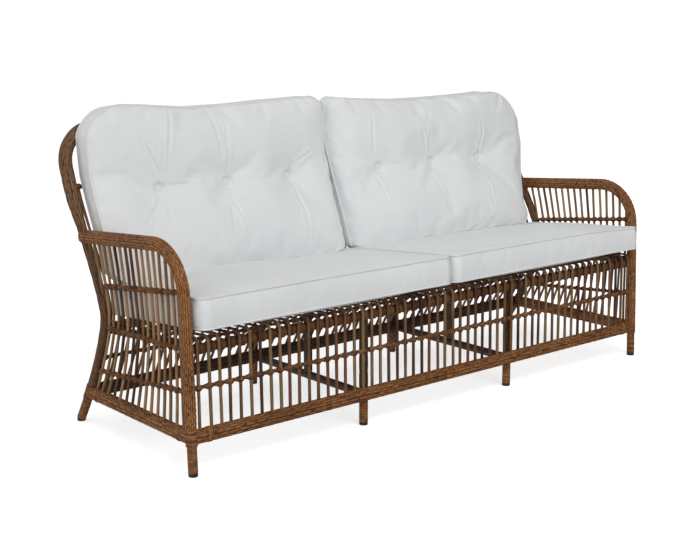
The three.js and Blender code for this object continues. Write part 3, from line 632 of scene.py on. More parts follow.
railZ = lines["baseRail"]
for row, seed, finish in (("front", 31, railFinish), ("rear", 33, shadedFinish)):
    y = middleOf(f"{row}_base_rail").y
    makeBaseRail(f"{row}_base_rail", (-baseRail["halfLength"], y, railZ), (baseRail["halfLength"], y, railZ),
                 seed, finish)
for side, sign in sides.items():
    x = sign * lines["halfSpan"]
    makeBaseRail(f"{side}_base_rail", at(x, frontLegY(railZ) + baseRail["frontPast"], railZ),
                 at(x, rearPostY(railZ) - baseRail["rearPast"], railZ), 36 + sign)

# inner legs
for side, sign in sides.items():
    x = sign * lines["innerLegX"]
    frontY = middleOf(f"front_inner_leg_{side}").y - lines["toFrame"]
    for row, lineY in (("front", lambda z: frontY), ("rear", innerLegY)):
        node = f"{row}_inner_leg_{side}"
        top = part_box(node)[1].z + legs["innerPast"]
        points = [at(x, lineY(z), z) for z in np.linspace(lines["legStart"], top, 30)]
        parts = [rolled(points, legs["inner"], legs["inner"], yAxis, weave["leg"], shadedFinish, 41 + sign),
                 wound("foot", x, lineY, legs["inner"], 43 + sign)]
        standFor(parts, f"{row}_inner_post_{side}", "frame", "weave", node)
print("woven frame made")

# plain poles with growth rings
poles = {"seat": 0.011, "sideSeat": 0.012, "sideDrop": 0.0195, "stretcher": 0.012, "stretcherZ": 0.092,
         "strut": 0.013}


def pole(name, node, points, radius, seed):
    reference = zAxis if abs(points[0][2] - points[-1][2]) < 0.1 else xAxis
    standFor([rolled(points, radius, radius, reference, weave["pole"], poleFinish, seed)],
             name, "frame", "pole", node)


for node, seed in (("rear_seat_rail", 51), ("seat_centre_rail", 52)):
    low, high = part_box(node)
    spot = middleOf(node)
    points = [(x, spot.y, spot.z) for x in np.linspace(low.x, high.x, 20)]
    pole(f"round_{node}", node, points, poles["seat"], seed)
for side, sign in sides.items():
    x = sign * lines["innerLegX"]
    node = f"{side}_seat_rail"
    low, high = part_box(node)
    points = [((low.x + high.x) / 2, y, deckZ(y - lines["toFrame"]) - poles["sideDrop"])
              for y in np.linspace(low.y, high.y, 14)]
    pole(f"round_{node}", node, points, poles["sideSeat"], 54 + sign)
    node = f"base_stretcher_{side}"
    low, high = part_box(node)
    points = [(x, y, poles["stretcherZ"]) for y in np.linspace(low.y, high.y + 0.004, 14)]
    pole(f"round_stretcher_{side}", node, points, poles["stretcher"], 57 + sign)
    node = f"centre_strut_{side}"
    low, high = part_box(node)
    points = [(x, (low.y + high.y) / 2, z) for z in np.linspace(low.z, high.z, 10)]
    pole(f"round_strut_{side}", node, points, poles["strut"], 60 + sign)

# the front seat rail is bound round and round between the canes that bend over it
binding = {"halfLength": 0.884, "steps": 1180, "thin": 0.0125, "fat": 0.0035, "width": 0.0068}


def makeBoundRail():
    xs = np.linspace(-binding["halfLength"], binding["halfLength"], binding["steps"])
    gap = np.abs(xs[:, None] - np.array(caneXs)[None, :]).min(1)
    half = binding["thin"] + binding["fat"] * (1 - np.exp(-(gap / binding["width"]) ** 4))
    spot = middleOf("front_seat_rail")
    rail = rolled([(x, spot.y, spot.z) for x in xs], half, half, zAxis, weave["binding"], boundFinish, 65)
    standFor([rail], "bound_seat_rail", "frame", "pole", "front_seat_rail")


makeBoundRail()
print("poles made")


# one straight rod is modelled and each cane is a copy of it laid along its own line
def makeRod(spans, rodSides=8):
    focus()
    bpy.ops.mesh.primitive_circle_add(vertices=rodSides, radius=1, fill_type="NGON")
    rod = bpy.context.object
    editAll(rod)
    for _ in range(spans):
        bpy.ops.mesh.extrude_region_move(TRANSFORM_OT_translate={"value": (0, 0, 1)})
    turnFacesOut()
    bpy.ops.object.shade_smooth_by_angle(angle=math.radians(60))
    mesh = rod.data
    for layer in list(mesh.uv_layers):
        mesh.uv_layers.remove(layer)
    layer = mesh.uv_layers.new(name="strands")
    for face in mesh.polygons:
        spots = [mesh.vertices[vertex].co for vertex in face.vertices]
        turns = [math.atan2(spot.y, spot.x) / (2 * math.pi) % 1 for spot in spots]
        wrap = max(turns) - min(turns) > 0.5
        for corner, turn, spot in zip(face.loop_indices, turns, spots):
            layer.data[corner].uv = (turn + (1 if wrap and turn < 0.5 else 0), spot.z)
    return rod


rods = {}


def cane(points, radius, rng, tone, material):
    points = np.asarray(points, float)
    spans = len(points) - 1
    if spans not in rods:
        rods[spans] = makeRod(spans)
    piece = copyOf(rods[spans])
    mesh = piece.data
    flat = placesOf(mesh)
    level = np.rint(flat[:, 2]).astype(int)
    side, over = axesAcross(np.gradient(points, axis=0), np.array(xAxis, float))
    size = (radius * (1 + rng.uniform(-0.06, 0.06, spans + 1)))[level][:, None]
    setPlaces(mesh, points[level] + side[level] * (flat[:, :1] * size) + over[level] * (flat[:, 1:2] * size))
    setPointValues(mesh, "tone", tone)
    setPointValues(mesh, "lift", 1.0)
    shift = rng.uniform(0, 40)
    layer = mesh.uv_layers["strands"]
    pairs = valuesIn(layer.data, "uv", 2, np.float32)
    length = float(np.linalg.norm(np.diff(points, axis=0), axis=1).sum())
    pairs[:, 1] = pairs[:, 1] * (length / spans / streakLength) + shift
    pairs[:, 0] += round(shift)
    setPairs(layer, pairs)
    return dress(piece, material)


# a twined strand that passes in front of and behind the canes, fat where it holds one
twine = {"thin": 0.0050, "fat": 0.0048, "width": 0.0085, "pull": 0.0040, "step": 0.0013}


def twinedLine(along, places, pull, caneSpots, reference, seed):
    gap = np.abs(along[:, None] - np.asarray(caneSpots)[None, :]).min(1)
    near = np.exp(-(gap / twine["width"]) ** 2)
    points = np.asarray(places) + np.asarray(pull)[None, :] * (near * twine["pull"])[:, None]
    half = twine["thin"] + twine["fat"] * near
    return rolled(points, half, half, reference, weave["twine"], twineFinish, seed)


# cane panels: how high each twined line runs, how thick the canes are and where they end
panels = {"front": 0.226, "rear": 0.205, "back": 0.680, "deck": 0.150, "radius": 0.0045, "sideRadius": 0.0042,
          "deckRadius": 0.0038, "lean": 0.0016, "skirtHeights": (0.116, 0.19, 0.26, 0.31),
          "deckRun": (0.15, 0.3, 0.4375), "rearHeights": (0.117, 0.16, 0.21, 0.26, 0.3053), "rearTop": 0.305,
          "seatLow": 0.3056, "backTop": 0.8262, "halfLength": 0.8842, "outerX": 0.86,
          "loopFoot": 0.740, "innerLoop": 0.0858, "besideLoop": 0.004, "intoLoop": 0.002,
          "skirtSlip": 0.0006, "deckSlip": 0.0012, "deckOver": 0.001}
bays = {"left": (-1.0, -0.3), "centre": (-0.3, 0.3), "right": (0.3, 1.0)}


def tonesFor(seed):
    return dict(zip(caneXs, np.random.default_rng(seed).uniform(0, 1, len(caneXs))))


toneOf, backToneOf = tonesFor(7), tonesFor(8)


def underLoop(x):
    off = abs(x) + panels["besideLoop"] - (lines["halfSpan"] - lines["backCorner"])
    if off < 0:
        return panels["backTop"]
    return panels["loopFoot"] + math.sqrt(max(panels["innerLoop"] ** 2 - off ** 2, 0)) + panels["intoLoop"]


def skirtCane(x, rng):
    lean, slip = rng.normal(0, panels["lean"]), rng.normal(0, panels["skirtSlip"])
    line = [at(x + lean * (1 - z / lines["seatRail"]), panelY(z) + slip, z)
            for z in (*panels["skirtHeights"], lines["seatRail"])]
    for step in np.linspace(0, 1, 6)[1:]:
        angle = math.pi - lines["panelLean"] - overTurn * step
        line.append(at(x, seatRailY + overRadius * math.cos(angle),
                       lines["seatRail"] + overRadius * math.sin(angle)))
    return cane(line, panels["radius"], rng, toneOf[x], skirtFinish)


def deckCane(x, rng):
    slip = rng.normal(0, panels["deckSlip"])
    line = [at(x + slip * share, y, deckZ(y)) for share, y in
            zip((0, 1, 1, 0), (deckStart[0] - panels["deckOver"], *panels["deckRun"]))]
    return cane(line, panels["deckRadius"], rng, toneOf[x], skirtFinish)


def rearSkirtCane(x, rng):
    lean = rng.normal(0, panels["lean"])
    line = [at(x + lean * (1 - z / panels["rearTop"]), backCaneY(z), z) for z in panels["rearHeights"]]
    return cane(line, panels["sideRadius"], rng, backToneOf[x], skirtFinish)


def backCane(x, rng):
    lean = rng.normal(0, panels["lean"])
    top = panels["back"] if abs(x) > panels["outerX"] else underLoop(x)
    line = [at(x + lean * math.sin(share * math.pi), backCaneY(z), z)
            for share, z in zip(np.linspace(0, 1, 9), np.linspace(panels["seatLow"], top, 9))]
    return cane(line, panels["sideRadius"], rng, backToneOf[x], caneFinish)


# each panel: its node, the maker of its canes, where its twined line runs and which way the canes push it
kinds = {
    "front_skirt": ("front_skirt_canes", skirtCane,
                    panelY(panels["front"]) + 0.0055, panels["front"], (0, -1, 0)),
    "seat_deck": ("seat_deck_canes", deckCane, panels["deck"], deckZ(panels["deck"]) - 0.0066, zAxis),
    "rear_skirt": ("rear_skirt_canes", rearSkirtCane,
                   backCaneY(panels["rear"]) + 0.0052, panels["rear"], (0, -1, 0)),
    "back": ("back_canes", backCane, backCaneY(panels["back"]) - 0.0052, panels["back"], yAxis),
}
for index, (bay, (low, high)) in enumerate(bays.items()):
    rng = np.random.default_rng(100 + index)
    ends = (max(low, -panels["halfLength"]), min(high, panels["halfLength"]))
    for order, (panel, (node, make, y, z, pull)) in enumerate(kinds.items()):
        room = lines["legRoom"] if panel == "rear_skirt" else 0.0
        fromX, toX = (end + room * way * (abs(end) < 0.5) for end, way in zip(ends, (1, -1)))
        spots = [x for x in caneXs if fromX < x < toX]
        xs = np.arange(fromX, toX, twine["step"])
        parts = [make(x, rng) for x in spots]
        parts.append(twinedLine(xs, [at(x, y, z) for x in xs], pull, spots, yAxis, 110 + 10 * index + order))
        standFor(parts, f"{panel}_rods_{bay}", "frame", "cane", f"{node}_{bay}")
print("cane panels made")

# side panels under the arms: fifteen canes rise from the base rail and two more from the slanting post,
# and three twined lines cross them, each with its height at the front and how it falls
sidePanel = {"canes": 15, "low": 0.117, "extra": ((1.0, 0.375), (17 / 16, 0.478)), "lean": 0.5,
             "twines": ((0.219, 5.2), (0.476, 6.9), (0.328, 2.4)),
             "underArm": 0.0145, "insideBend": 0.1135, "twineInside": 0.113, "inset": 0.0052,
             "slip": 0.0012, "slipFrom": 0.12, "besideLeg": 0.0128, "besidePost": 0.012, "postY": 0.42}


def sideCaneY(share, z):
    def between(height):
        return frontLegY(height) + (rearPostY(height) - frontLegY(height)) * share
    if z < lines["waist"]:
        return between(z)
    return between(lines["waist"]) + (between(z) - between(lines["waist"])) * sidePanel["lean"]


def makeSidePanel(side, sign):
    rng = np.random.default_rng(200 + sign)
    x = sign * lines["halfSpan"]
    parts = []
    shares = [(i + 1) / (sidePanel["canes"] + 1) for i in range(sidePanel["canes"])]
    for share, low in [(share, sidePanel["low"]) for share in shares] + list(sidePanel["extra"]):
        top = bendStart[1]
        for _ in range(12):
            y = sideCaneY(share, top)
            if y > bendEnd:
                top = armZ(y) - sidePanel["underArm"]
            else:
                off = min(y - bendCentre[0], 0)
                top = bendCentre[1] + math.sqrt(max(sidePanel["insideBend"] ** 2 - off ** 2, 0))
        slip, fromZ = rng.normal(0, sidePanel["slip"]), sidePanel["slipFrom"]
        line = [at(x + rng.normal(0, 0.0005),
                   sideCaneY(share, z) + slip * math.sin((z - fromZ) / (top - fromZ) * math.pi), z)
                for z in np.linspace(low, top, 8)]
        parts.append(cane(line, panels["sideRadius"], rng, rng.uniform(0, 1), caneFinish))
    for order, (frontZ, fall) in enumerate(sidePanel["twines"]):
        slope = math.tan(math.radians(fall))
        fromY = frontLegY(frontZ) + sidePanel["besideLeg"]
        if frontZ > bendStart[1]:
            fromY = bendCentre[0] - math.sqrt(sidePanel["twineInside"] ** 2 - (frontZ - bendCentre[1]) ** 2)
        toY = rearPostY(frontZ - sidePanel["postY"] * slope) - sidePanel["besidePost"]
        ys = np.arange(fromY, toY, twine["step"])
        spots = []
        for share in shares:
            height = frontZ
            for _ in range(8):
                height = frontZ - sideCaneY(share, height) * slope
            spots.append(sideCaneY(share, height))
        places = [at(x - sign * sidePanel["inset"], y, frontZ - y * slope) for y in ys]
        parts.append(twinedLine(ys, places, (sign, 0, 0), spots, xAxis, 210 + order))
    standFor(parts, f"{side}_side_rods", "frame", "cane", f"{side}_side_canes")


for side, sign in sides.items():
    makeSidePanel(side, sign)
for rod in rods.values():
    bpy.data.objects.remove(rod)
print("side panels made")

# foot glides: one is turned with a bevelled rim, the others are copies
glide = {"radius": 0.0125, "height": 0.0093, "rim": 0.0016, "dishRim": 0.004, "dish": 0.0008}


def makeGlide():
    focus()
    bpy.ops.mesh.primitive_cylinder_add(vertices=32, radius=glide["radius"], depth=glide["height"],
                                        location=(0, 0, glide["height"] / 2))
    piece = bpy.context.object
    editAll(piece)
    bpy.ops.mesh.bevel(offset=glide["rim"], segments=3, affect="EDGES")
    bpy.ops.mesh.select_all(action="DESELECT")
    bpy.ops.object.mode_set(mode="OBJECT")
    for face in piece.data.polygons:
        face.select = face.normal.z < -0.99
    bpy.ops.object.mode_set(mode="EDIT")
    bpy.ops.mesh.inset(thickness=glide["dishRim"], depth=0)
    bpy.ops.transform.translate(value=(0, 0, glide["dish"]))
    bpy.ops.object.mode_set(mode="OBJECT")
    focus(piece)
    bpy.ops.object.transform_apply(location=True, rotation=True, scale=True)
    bpy.ops.object.shade_smooth_by_angle(angle=math.radians(40))
    return dress(piece, glideFinish)


firstGlide = makeGlide()
for node in [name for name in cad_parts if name.endswith("_glide")]:
    spot = middleOf(node)
    piece = copyOf(firstGlide)
    setPlaces(piece.data, placesOf(piece.data) + np.array([spot.x, spot.y, 0]))
    standFor([piece], "foot_" + node.replace("_glide", ""), "frame", "glide", node)
bpy.data.objects.remove(firstGlide)
print("foot glides made")

# cushions
cushion = {
    "gap": 0.003, "draw": 0.007, "bulge": 0.003,
    "seatReach": 0.88, "seatLength": 0.4688, "seatThick": 0.098, "seatCrown": 0.0066, "seatCorner": 0.028,
    "edgeLift": 0.020, "overhang": 0.035, "stand": 0.062, "deckLift": 0.0039,
    "backReach": 0.872, "backTop": 0.888, "foot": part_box("back_cushion_left")[0].z, "backThick": 0.055,
    "backCrown": 0.0477, "backCorner": 0.034, "outerFoot": 0.058, "innerRound": 0.060, "innerDraw": 0.032,
}
buttons = {"left": (0.1985, 0.4325, 0.6665), "right": (0.1675, 0.4015, 0.6355), "height": 0.664}
tuft = {"radius": 0.082, "depth": 0.68, "power": 1.3, "pit": 0.010, "pitRadius": 0.019, "sewn": 0.016,
        "edge": 0.004}


def fullness(place):
    return np.clip(1 - np.abs(place) ** 2.6, 0, None) ** 0.6


def drawnIn(share):
    return cushion["draw"] * np.sqrt(np.abs(np.sin(np.asarray(share) * np.pi)))


def cornerDraw(distance, radius):
    inside = np.clip(radius - distance, 0, radius)
    return radius - np.sqrt(radius ** 2 - inside ** 2)


# where the top of each seat cushion is puffed up or hollow, by its side: how far across and along it is,
# how wide, how long and how high
swells = {-1: [(0.54, 0.37, 0.22, 0.075, 0.017), (0.72, 0.13, 0.10, 0.07, -0.009)],
          1: [(0.80, 0.30, 0.16, 0.14, -0.005)]}
# how far the outer end of each seat cushion has sunk, and how much of that the back cushion follows
sunk = {-1: 0.0, 1: 0.0085, "from": 0.60, "to": 0.87, "follow": 0.8}


def sunkBy(sign, x):
    return sunk[sign] * smoothStep(x, sunk["from"], sunk["to"])


def seatPlaces(column, row, face, sign):
    width, length = cushion["seatReach"] - cushion["gap"], cushion["seatLength"]
    along = row * length
    inset = cornerDraw(np.minimum(along, length - along), cushion["seatCorner"]) + drawnIn(row)
    bulge = cushion["bulge"] * 4 * face * (1 - face)
    x = cushion["gap"] + inset - bulge + (width - 2 * inset + 2 * bulge) * column
    endDraw = drawnIn(column)
    y = endDraw - bulge + (length - 2 * endDraw + 2 * bulge) * row
    acrossFull = fullness(2 * column - 1)
    frontLength = length - cushion["stand"]
    faceFull = acrossFull * fullness(np.clip(2 * along / frontLength - 1, -1, 1))
    underFull = acrossFull * fullness(2 * row - 1)
    under = cushion["edgeLift"] * (1 - np.minimum(underFull / 0.8, 1))
    rim = cushion["edgeLift"] + (cushion["seatThick"] - cushion["edgeLift"]) * face
    top = cushion["seatThick"] + cushion["seatCrown"] * faceFull
    for across, way, wide, long, high in swells[sign]:
        top = top + high * acrossFull * np.exp(-((x - across) / wide) ** 2 - ((along - way) / long) ** 2)
    z = np.where(face <= 0, under, np.where(face >= 1, top, rim)) - sunkBy(sign, x) * face
    slope = lines["deckSlope"]
    turnedY = y * math.cos(slope) + z * math.sin(slope) - cushion["overhang"]
    turnedZ = -y * math.sin(slope) + z * math.cos(slope) + deckZ(-cushion["overhang"]) + cushion["deckLift"]
    return np.stack([sign * x, turnedY + lines["toFrame"], turnedZ], 1)


# the line that the back cushions lean on: the faces of the canes, then of the loop
rest = {"height": 0.415, "caneFace": 0.0036, "caneTop": 0.0198, "loopGap": 0.0003, "ease": 0.0015,
        "blend": 0.090, "into": 0.0076}
footFace = backCaneY(rest["height"]) - rest["caneFace"]
caneTop = lines["backHeight"] - rest["caneTop"]
caneLean = (backCaneY(caneTop) - rest["caneFace"] - footFace) / (caneTop - rest["height"])
railFace = rearPostY(lines["backHeight"]) - loop["half"] / math.cos(math.pi / 8) - rest["loopGap"]


def restY(z):
    leaning = footFace + caneLean * (z - rest["height"]) - rest["ease"]
    room = railFace - leaning
    blend = caneLean * rest["blend"]
    share = np.clip((blend - room) / (2 * blend), 0, 1)
    return np.where(room > blend, leaning, railFace - blend * (1 - share) ** 2)


# how far their rear side bows out from that line into the canes
def bowedBy(z):
    heights = np.linspace(0.40, 0.90, 60)
    bow = [min(backCaneY(h) - rest["into"], railFace) - float(restY(h)) for h in heights]
    return np.clip(np.interp(z, heights, bow), 0, None)


# each back cushion has slumped a little in its own way: how far it bows into the canes, how strong its folds
# are, how round two of its corners are, heights and how far its ends draw in there, and spots along its width
# and how far its top stands above or below the straight line there
slump = {
    "left": {"bow": 0.6, "folds": 1.0, "innerFoot": 0.020, "topCorner": 0.104,
             "heights": (0.42, 0.49, 0.58, 0.70, 0.83, 0.888),
             "inner": (0.026, 0.024, 0.016, 0.003, 0.003, 0.010), "outer": (0, 0, 0, 0, 0, 0),
             "spots": (0.0, 0.07, 0.25, 0.41, 0.57, 0.75, 0.82, 0.88),
             "rise": (0.012, 0.016, 0.014, 0.008, 0.006, 0.016, 0.018, 0.010)},
    "right": {"bow": 0.0, "folds": 0.6, "innerFoot": 0.010, "topCorner": 0.150,
              "heights": (0.42, 0.50, 0.57, 0.64, 0.70, 0.78, 0.888),
              "inner": (-0.002, -0.002, -0.002, -0.002, -0.002, -0.002, 0.002),
              "outer": (0.046, 0.050, 0.030, 0.002, -0.022, -0.026, -0.020),
              "spots": (0.0, 0.035, 0.2, 0.36, 0.53, 0.72, 0.88),
              "rise": (0.008, 0.007, 0.0, -0.005, -0.004, -0.002, 0.0)},
}


def backPlaces(column, row, face, side):
    sign, own = sides[side], slump[side]
    height, width = cushion["backTop"] - cushion["foot"], cushion["backReach"] - cushion["gap"]
    nominal = cushion["gap"] + column * width
    level = cushion["foot"] + row * height
    inner = cornerDraw(height * (1 - row), cushion["backCorner"]) + cornerDraw(height * row, own["innerFoot"])
    outer = cornerDraw(height * (1 - row), own["topCorner"]) + cornerDraw(height * row, cushion["outerFoot"])
    draw = drawnIn(row)
    bulge = cushion["bulge"] * 4 * face * (1 - face)
    innerSlump, outerSlump = (np.interp(level, own["heights"], own[key]) * face for key in ("inner", "outer"))
    start = cushion["gap"] + np.maximum(inner, draw * 0.2) - bulge + innerSlump
    end = cushion["gap"] + width - np.maximum(outer, draw) + bulge - outerSlump
    edge = np.where(np.minimum(row, 1 - row) <= 0, 1.0, np.abs(2 * column - 1) ** 6)
    x = nominal + (start + (end - start) * column - nominal) * edge
    rise = np.interp(nominal, own["spots"], own["rise"]) * np.clip(row * 2 - 1, 0, 1) ** 2
    z = (level + (1 - row) * face * cushion["backThick"] * math.tan(lines["deckSlope"])
         - np.where(row >= 1, drawnIn(column), 0) + rise - sunk["follow"] * sunkBy(sign, x) * (1 - row) ** 3)
    full = fullness(2 * column - 1) * fullness(2 * row - 1)
    pull = np.zeros_like(x)
    for spot in buttons[side]:
        away = np.hypot(nominal - spot, z - buttons["height"]) / tuft["radius"]
        pull = np.maximum(pull, np.exp(-(away ** tuft["power"])))
    rounding = cornerDraw(nominal - cushion["gap"], cushion["innerRound"]) / cushion["innerRound"]
    bow = bowedBy(z) * own["bow"]
    padding = (cushion["backCrown"] + bow) * full * (1 - tuft["depth"] * pull)
    thick = cushion["backThick"] - cushion["innerDraw"] * rounding
    depth = thick * face + np.where(face >= 1, padding, 0)
    return np.stack([sign * x, restY(z) + bow - depth + lines["toFrame"], z], 1)


def gridWall(across, up, place, turn, stretch):
    focus()
    bpy.ops.mesh.primitive_grid_add(x_subdivisions=across, y_subdivisions=up, size=2, calc_uvs=False,
                                    location=place, rotation=turn)
    bpy.context.object.scale.y = stretch
    return bpy.context.object


# a cushion starts as a box of six grids, always in the same order so that the cloth always falls the same,
# then each point goes to its place
def cushionShell(columns, rows, layers, places):
    quarter, half = math.pi / 2, layers / 2
    walls = [gridWall(columns, rows, (0, 0, z), (0, 0, 0), 1) for z in (0, layers)]
    walls += [gridWall(columns, layers, (0, y, half), (quarter, 0, 0), half) for y in (-1, 1)]
    walls += [gridWall(rows, layers, (x, 0, half), (quarter, 0, quarter), half) for x in (-1, 1)]
    bpy.context.view_layer.update()
    focus(*walls)
    bpy.ops.object.join()
    piece = bpy.context.object
    editAll(piece)
    bpy.ops.mesh.remove_doubles(threshold=0.0001)
    bpy.ops.object.mode_set(mode="OBJECT")
    mesh = piece.data
    flat = np.round(placesOf(mesh), 6)

    def eased(u):
        return np.clip(u - 0.5 * np.sin(2 * np.pi * u) / (2 * np.pi), 0, 1)

    column, row = eased((flat[:, 0] + 1) / 2), eased((flat[:, 1] + 1) / 2)
    face = np.rint(flat[:, 2]) / layers
    setPlaces(mesh, places(column, row, face))
    for key, values in (("column", column), ("row", row), ("face", face)):
        setPointValues(mesh, key, values)
    editAll(piece)
    turnFacesOut()
    return piece


def clothMap(piece):
    mesh = piece.data
    layer = mesh.uv_layers.new(name="cloth")
    corner = valuesIn(mesh.loops, "vertex_index", 1, int)
    starts = valuesIn(mesh.polygons, "loop_start", 1, int)
    normals = np.abs(valuesIn(mesh.polygons, "normal", 3))
    owner = np.repeat(np.arange(len(starts)), np.diff(np.append(starts, len(corner))))
    main = np.argmax(normals[owner], axis=1)
    spots = placesOf(mesh)[corner]
    setPairs(layer, np.stack([np.where(main == 0, spots[:, 1], spots[:, 0]),
                              np.where(main == 2, spots[:, 1], spots[:, 2])], 1))


# the padding is pressed out by air while seams, buttons and the resting side are held: for each kind how
# hard, how loose the cloth is, how far its face and rim may move, and how high and long its faint waves are;
# the seat is held still where the back cushion stands on it
padding = {"mass": 0.25, "stretch": 18, "shear": 8, "bend": 0.8, "pin": 5.0, "quality": 6, "frames": 20,
           "seat": {"air": 3.0, "slack": 0.004, "face": 0.024, "rim": 0.0012, "waves": (0.0013, 0.11),
                    "stillFrom": 0.88, "easeFrom": 0.80, "easeOver": 0.08},
           "back": {"air": 3.2, "slack": 0.012, "face": 0.026, "rim": 0.003, "waves": (0.0016, 0.09)}}


def fill(piece, held, cap, pressure, slack):
    mesh = piece.data
    before = placesOf(mesh)
    group = piece.vertex_groups.new(name="held")
    for weight in np.unique(np.round(held, 2)):
        if weight > 0:
            spots = np.flatnonzero(np.abs(held - weight) < 0.006)
            group.add(spots.tolist(), float(weight), "REPLACE")
    focus(piece)
    modifier = piece.modifiers.new("filling", "CLOTH")
    settings = modifier.settings
    settings.vertex_group_mass = "held"
    settings.pin_stiffness = padding["pin"]
    settings.quality = padding["quality"]
    settings.mass = padding["mass"]
    settings.tension_stiffness = settings.compression_stiffness = padding["stretch"]
    settings.shear_stiffness = padding["shear"]
    settings.bending_stiffness = padding["bend"]
    settings.use_pressure = True
    settings.uniform_pressure_force = pressure
    settings.shrink_min = -slack
    settings.effector_weights.gravity = 0
    modifier.collision_settings.use_collision = False
    modifier.point_cache.frame_start = 1
    modifier.point_cache.frame_end = padding["frames"]
    scene = bpy.context.scene
    for number in range(1, padding["frames"] + 1):
        scene.frame_set(number)
    shape = piece.evaluated_get(bpy.context.evaluated_depsgraph_get())
    after = placesOf(shape.to_mesh())
    shape.to_mesh_clear()
    piece.modifiers.remove(modifier)
    scene.frame_set(1)
    moved = after - before
    length = np.linalg.norm(moved, axis=1)
    moved *= np.minimum(1, cap / np.maximum(length, 1e-9))[:, None]
    setPlaces(mesh, before + moved)
    free = length[cap > 0.01] * 1000
    print(f"cushion filled, free cloth moved {free.mean():.1f} mm on average, most {free.max():.1f}")


def subdivided(piece, levels=1):
    focus(piece)
    modifier = piece.modifiers.new("finer", "SUBSURF")
    modifier.levels = modifier.render_levels = levels
    bpy.ops.object.modifier_apply(modifier="finer")


# folds are pressed in along lines read off the photograph, in its pixels: the line, how deep, how wide;
# each is a groove that fades towards its ends, with a low ridge along either side
foldShape = {"narrow": 0.82, "fade": 0.6, "ridge": 0.45, "ridgeAt": 2.1, "ridgeWidth": 1.1}
backFolds = {
    "left": [
        ([(160, 177), (148, 152), (137, 132)], 0.006, 0.007),
        ([(168, 172), (168.5, 150), (170, 128), (169, 110)], 0.0045, 0.006),
        ([(163.6, 164), (163.6, 140)], 0.003, 0.006),
        ([(227.4, 173), (227.4, 142), (225.5, 120.5)], 0.0045, 0.006),
        ([(222, 172), (218, 136), (212.6, 121), (206, 110)], 0.0035, 0.006),
        ([(160, 201), (153, 213), (147, 225)], 0.004, 0.006),
        ([(165.4, 201), (170, 214), (172.8, 227)], 0.0035, 0.006),
        ([(230, 194), (239, 208), (252, 236)], 0.0045, 0.006),
        ([(232, 208), (235.7, 232)], 0.003, 0.006),
        ([(298.6, 160), (311.5, 151)], 0.004, 0.006),
        ([(293, 186), (306, 210), (308.7, 242)], 0.0045, 0.007),
        ([(166, 185.3), (195, 183), (219, 181.5)], 0.0035, 0.0042),
        ([(230, 180), (255, 176), (281, 172)], 0.003, 0.0042),
        ([(160, 196), (152, 240)], 0.0025, 0.007),
    ],
    "right": [
        ([(374, 162), (373, 135), (372, 113)], 0.0045, 0.006),
        ([(374.6, 173), (383, 188), (390, 206)], 0.0035, 0.006),
        ([(428, 156), (430, 140), (427.7, 111.5)], 0.0045, 0.006),
        ([(426, 156), (423.5, 134.7), (414.4, 111.5)], 0.0035, 0.006),
        ([(431, 173), (441, 188), (447.6, 199), (449, 226)], 0.0045, 0.006),
        ([(477.4, 158), (482.4, 134.7), (480.8, 116.5)], 0.0045, 0.006),
        ([(477.4, 166), (489, 183), (493, 199), (493, 221)], 0.0045, 0.006),
        ([(378, 165.5), (400, 164), (421, 164)], 0.002, 0.0045),
        ([(432, 164), (452, 162.5), (471, 162)], 0.002, 0.0045),
        ([(345, 176), (358, 171), (367, 167)], 0.003, 0.006),
        ([(482, 161), (500, 157), (514, 150)], 0.003, 0.006),
    ],
}


def normalsOf(mesh):
    return valuesIn(mesh.vertex_normals, "vector", 3)


def segmentDistance(places, start, end):
    way = end - start
    share = np.clip(((places - start) @ way) / max(way @ way, 1e-12), 0, 1)
    return np.linalg.norm(places - (start + share[:, None] * way), axis=1), share


def pressFolds(piece, side, front):
    mesh = piece.data
    focus(piece)
    tree = BVHTree.FromObject(piece, bpy.context.evaluated_depsgraph_get())
    places = placesOf(mesh)
    normals = normalsOf(mesh)
    push = np.zeros(len(places))
    for line, depth, width in backFolds[side]:
        hits = [tree.ray_cast(camera.location, photoRay(px, py))[0] for px, py in line]
        spots = [np.array(hit) for hit in hits if hit is not None]
        if len(spots) < 2:
            continue
        lengths = [np.linalg.norm(b - a) for a, b in zip(spots, spots[1:])]
        run = 0.0
        nearest = np.full(len(places), 9.0)
        position = np.zeros(len(places))
        for a, b, length in zip(spots, spots[1:], lengths):
            away, share = segmentDistance(places, a, b)
            position = np.where(away < nearest, (run + share * length) / sum(lengths), position)
            nearest = np.minimum(away, nearest)
            run += length
        fade = np.sin(np.clip(position, 0.02, 0.98) * np.pi) ** foldShape["fade"]
        narrow = foldShape["narrow"] * width
        groove = np.exp(-(nearest / narrow) ** 2)
        ridge = np.exp(-((nearest - foldShape["ridgeAt"] * narrow) / (foldShape["ridgeWidth"] * narrow)) ** 2)
        push += fade * depth * slump[side]["folds"] * (foldShape["ridge"] * ridge - groove)
    setPlaces(mesh, places + normals * (push * front)[:, None])


# faint waves all over, so that no face is quite smooth
def crumple(piece, size, seed, mask, count=9):
    amount, scale = size
    rng = np.random.default_rng(seed)
    mesh = piece.data
    places, normals = placesOf(mesh), normalsOf(mesh)
    push = np.zeros(len(places))
    for _ in range(count):
        way = rng.normal(0, 1, 3)
        way /= np.linalg.norm(way)
        push += np.sin(places @ way * (2 * np.pi / (scale * rng.uniform(0.6, 1.6))) + rng.uniform(0, 6.3))
    setPlaces(mesh, places + normals * (push / count * amount * mask)[:, None])


# piping: a cord sewn into each seam, right round the cushion
piping = {"radius": 0.0028, "count": 110, "step": 0.0015}


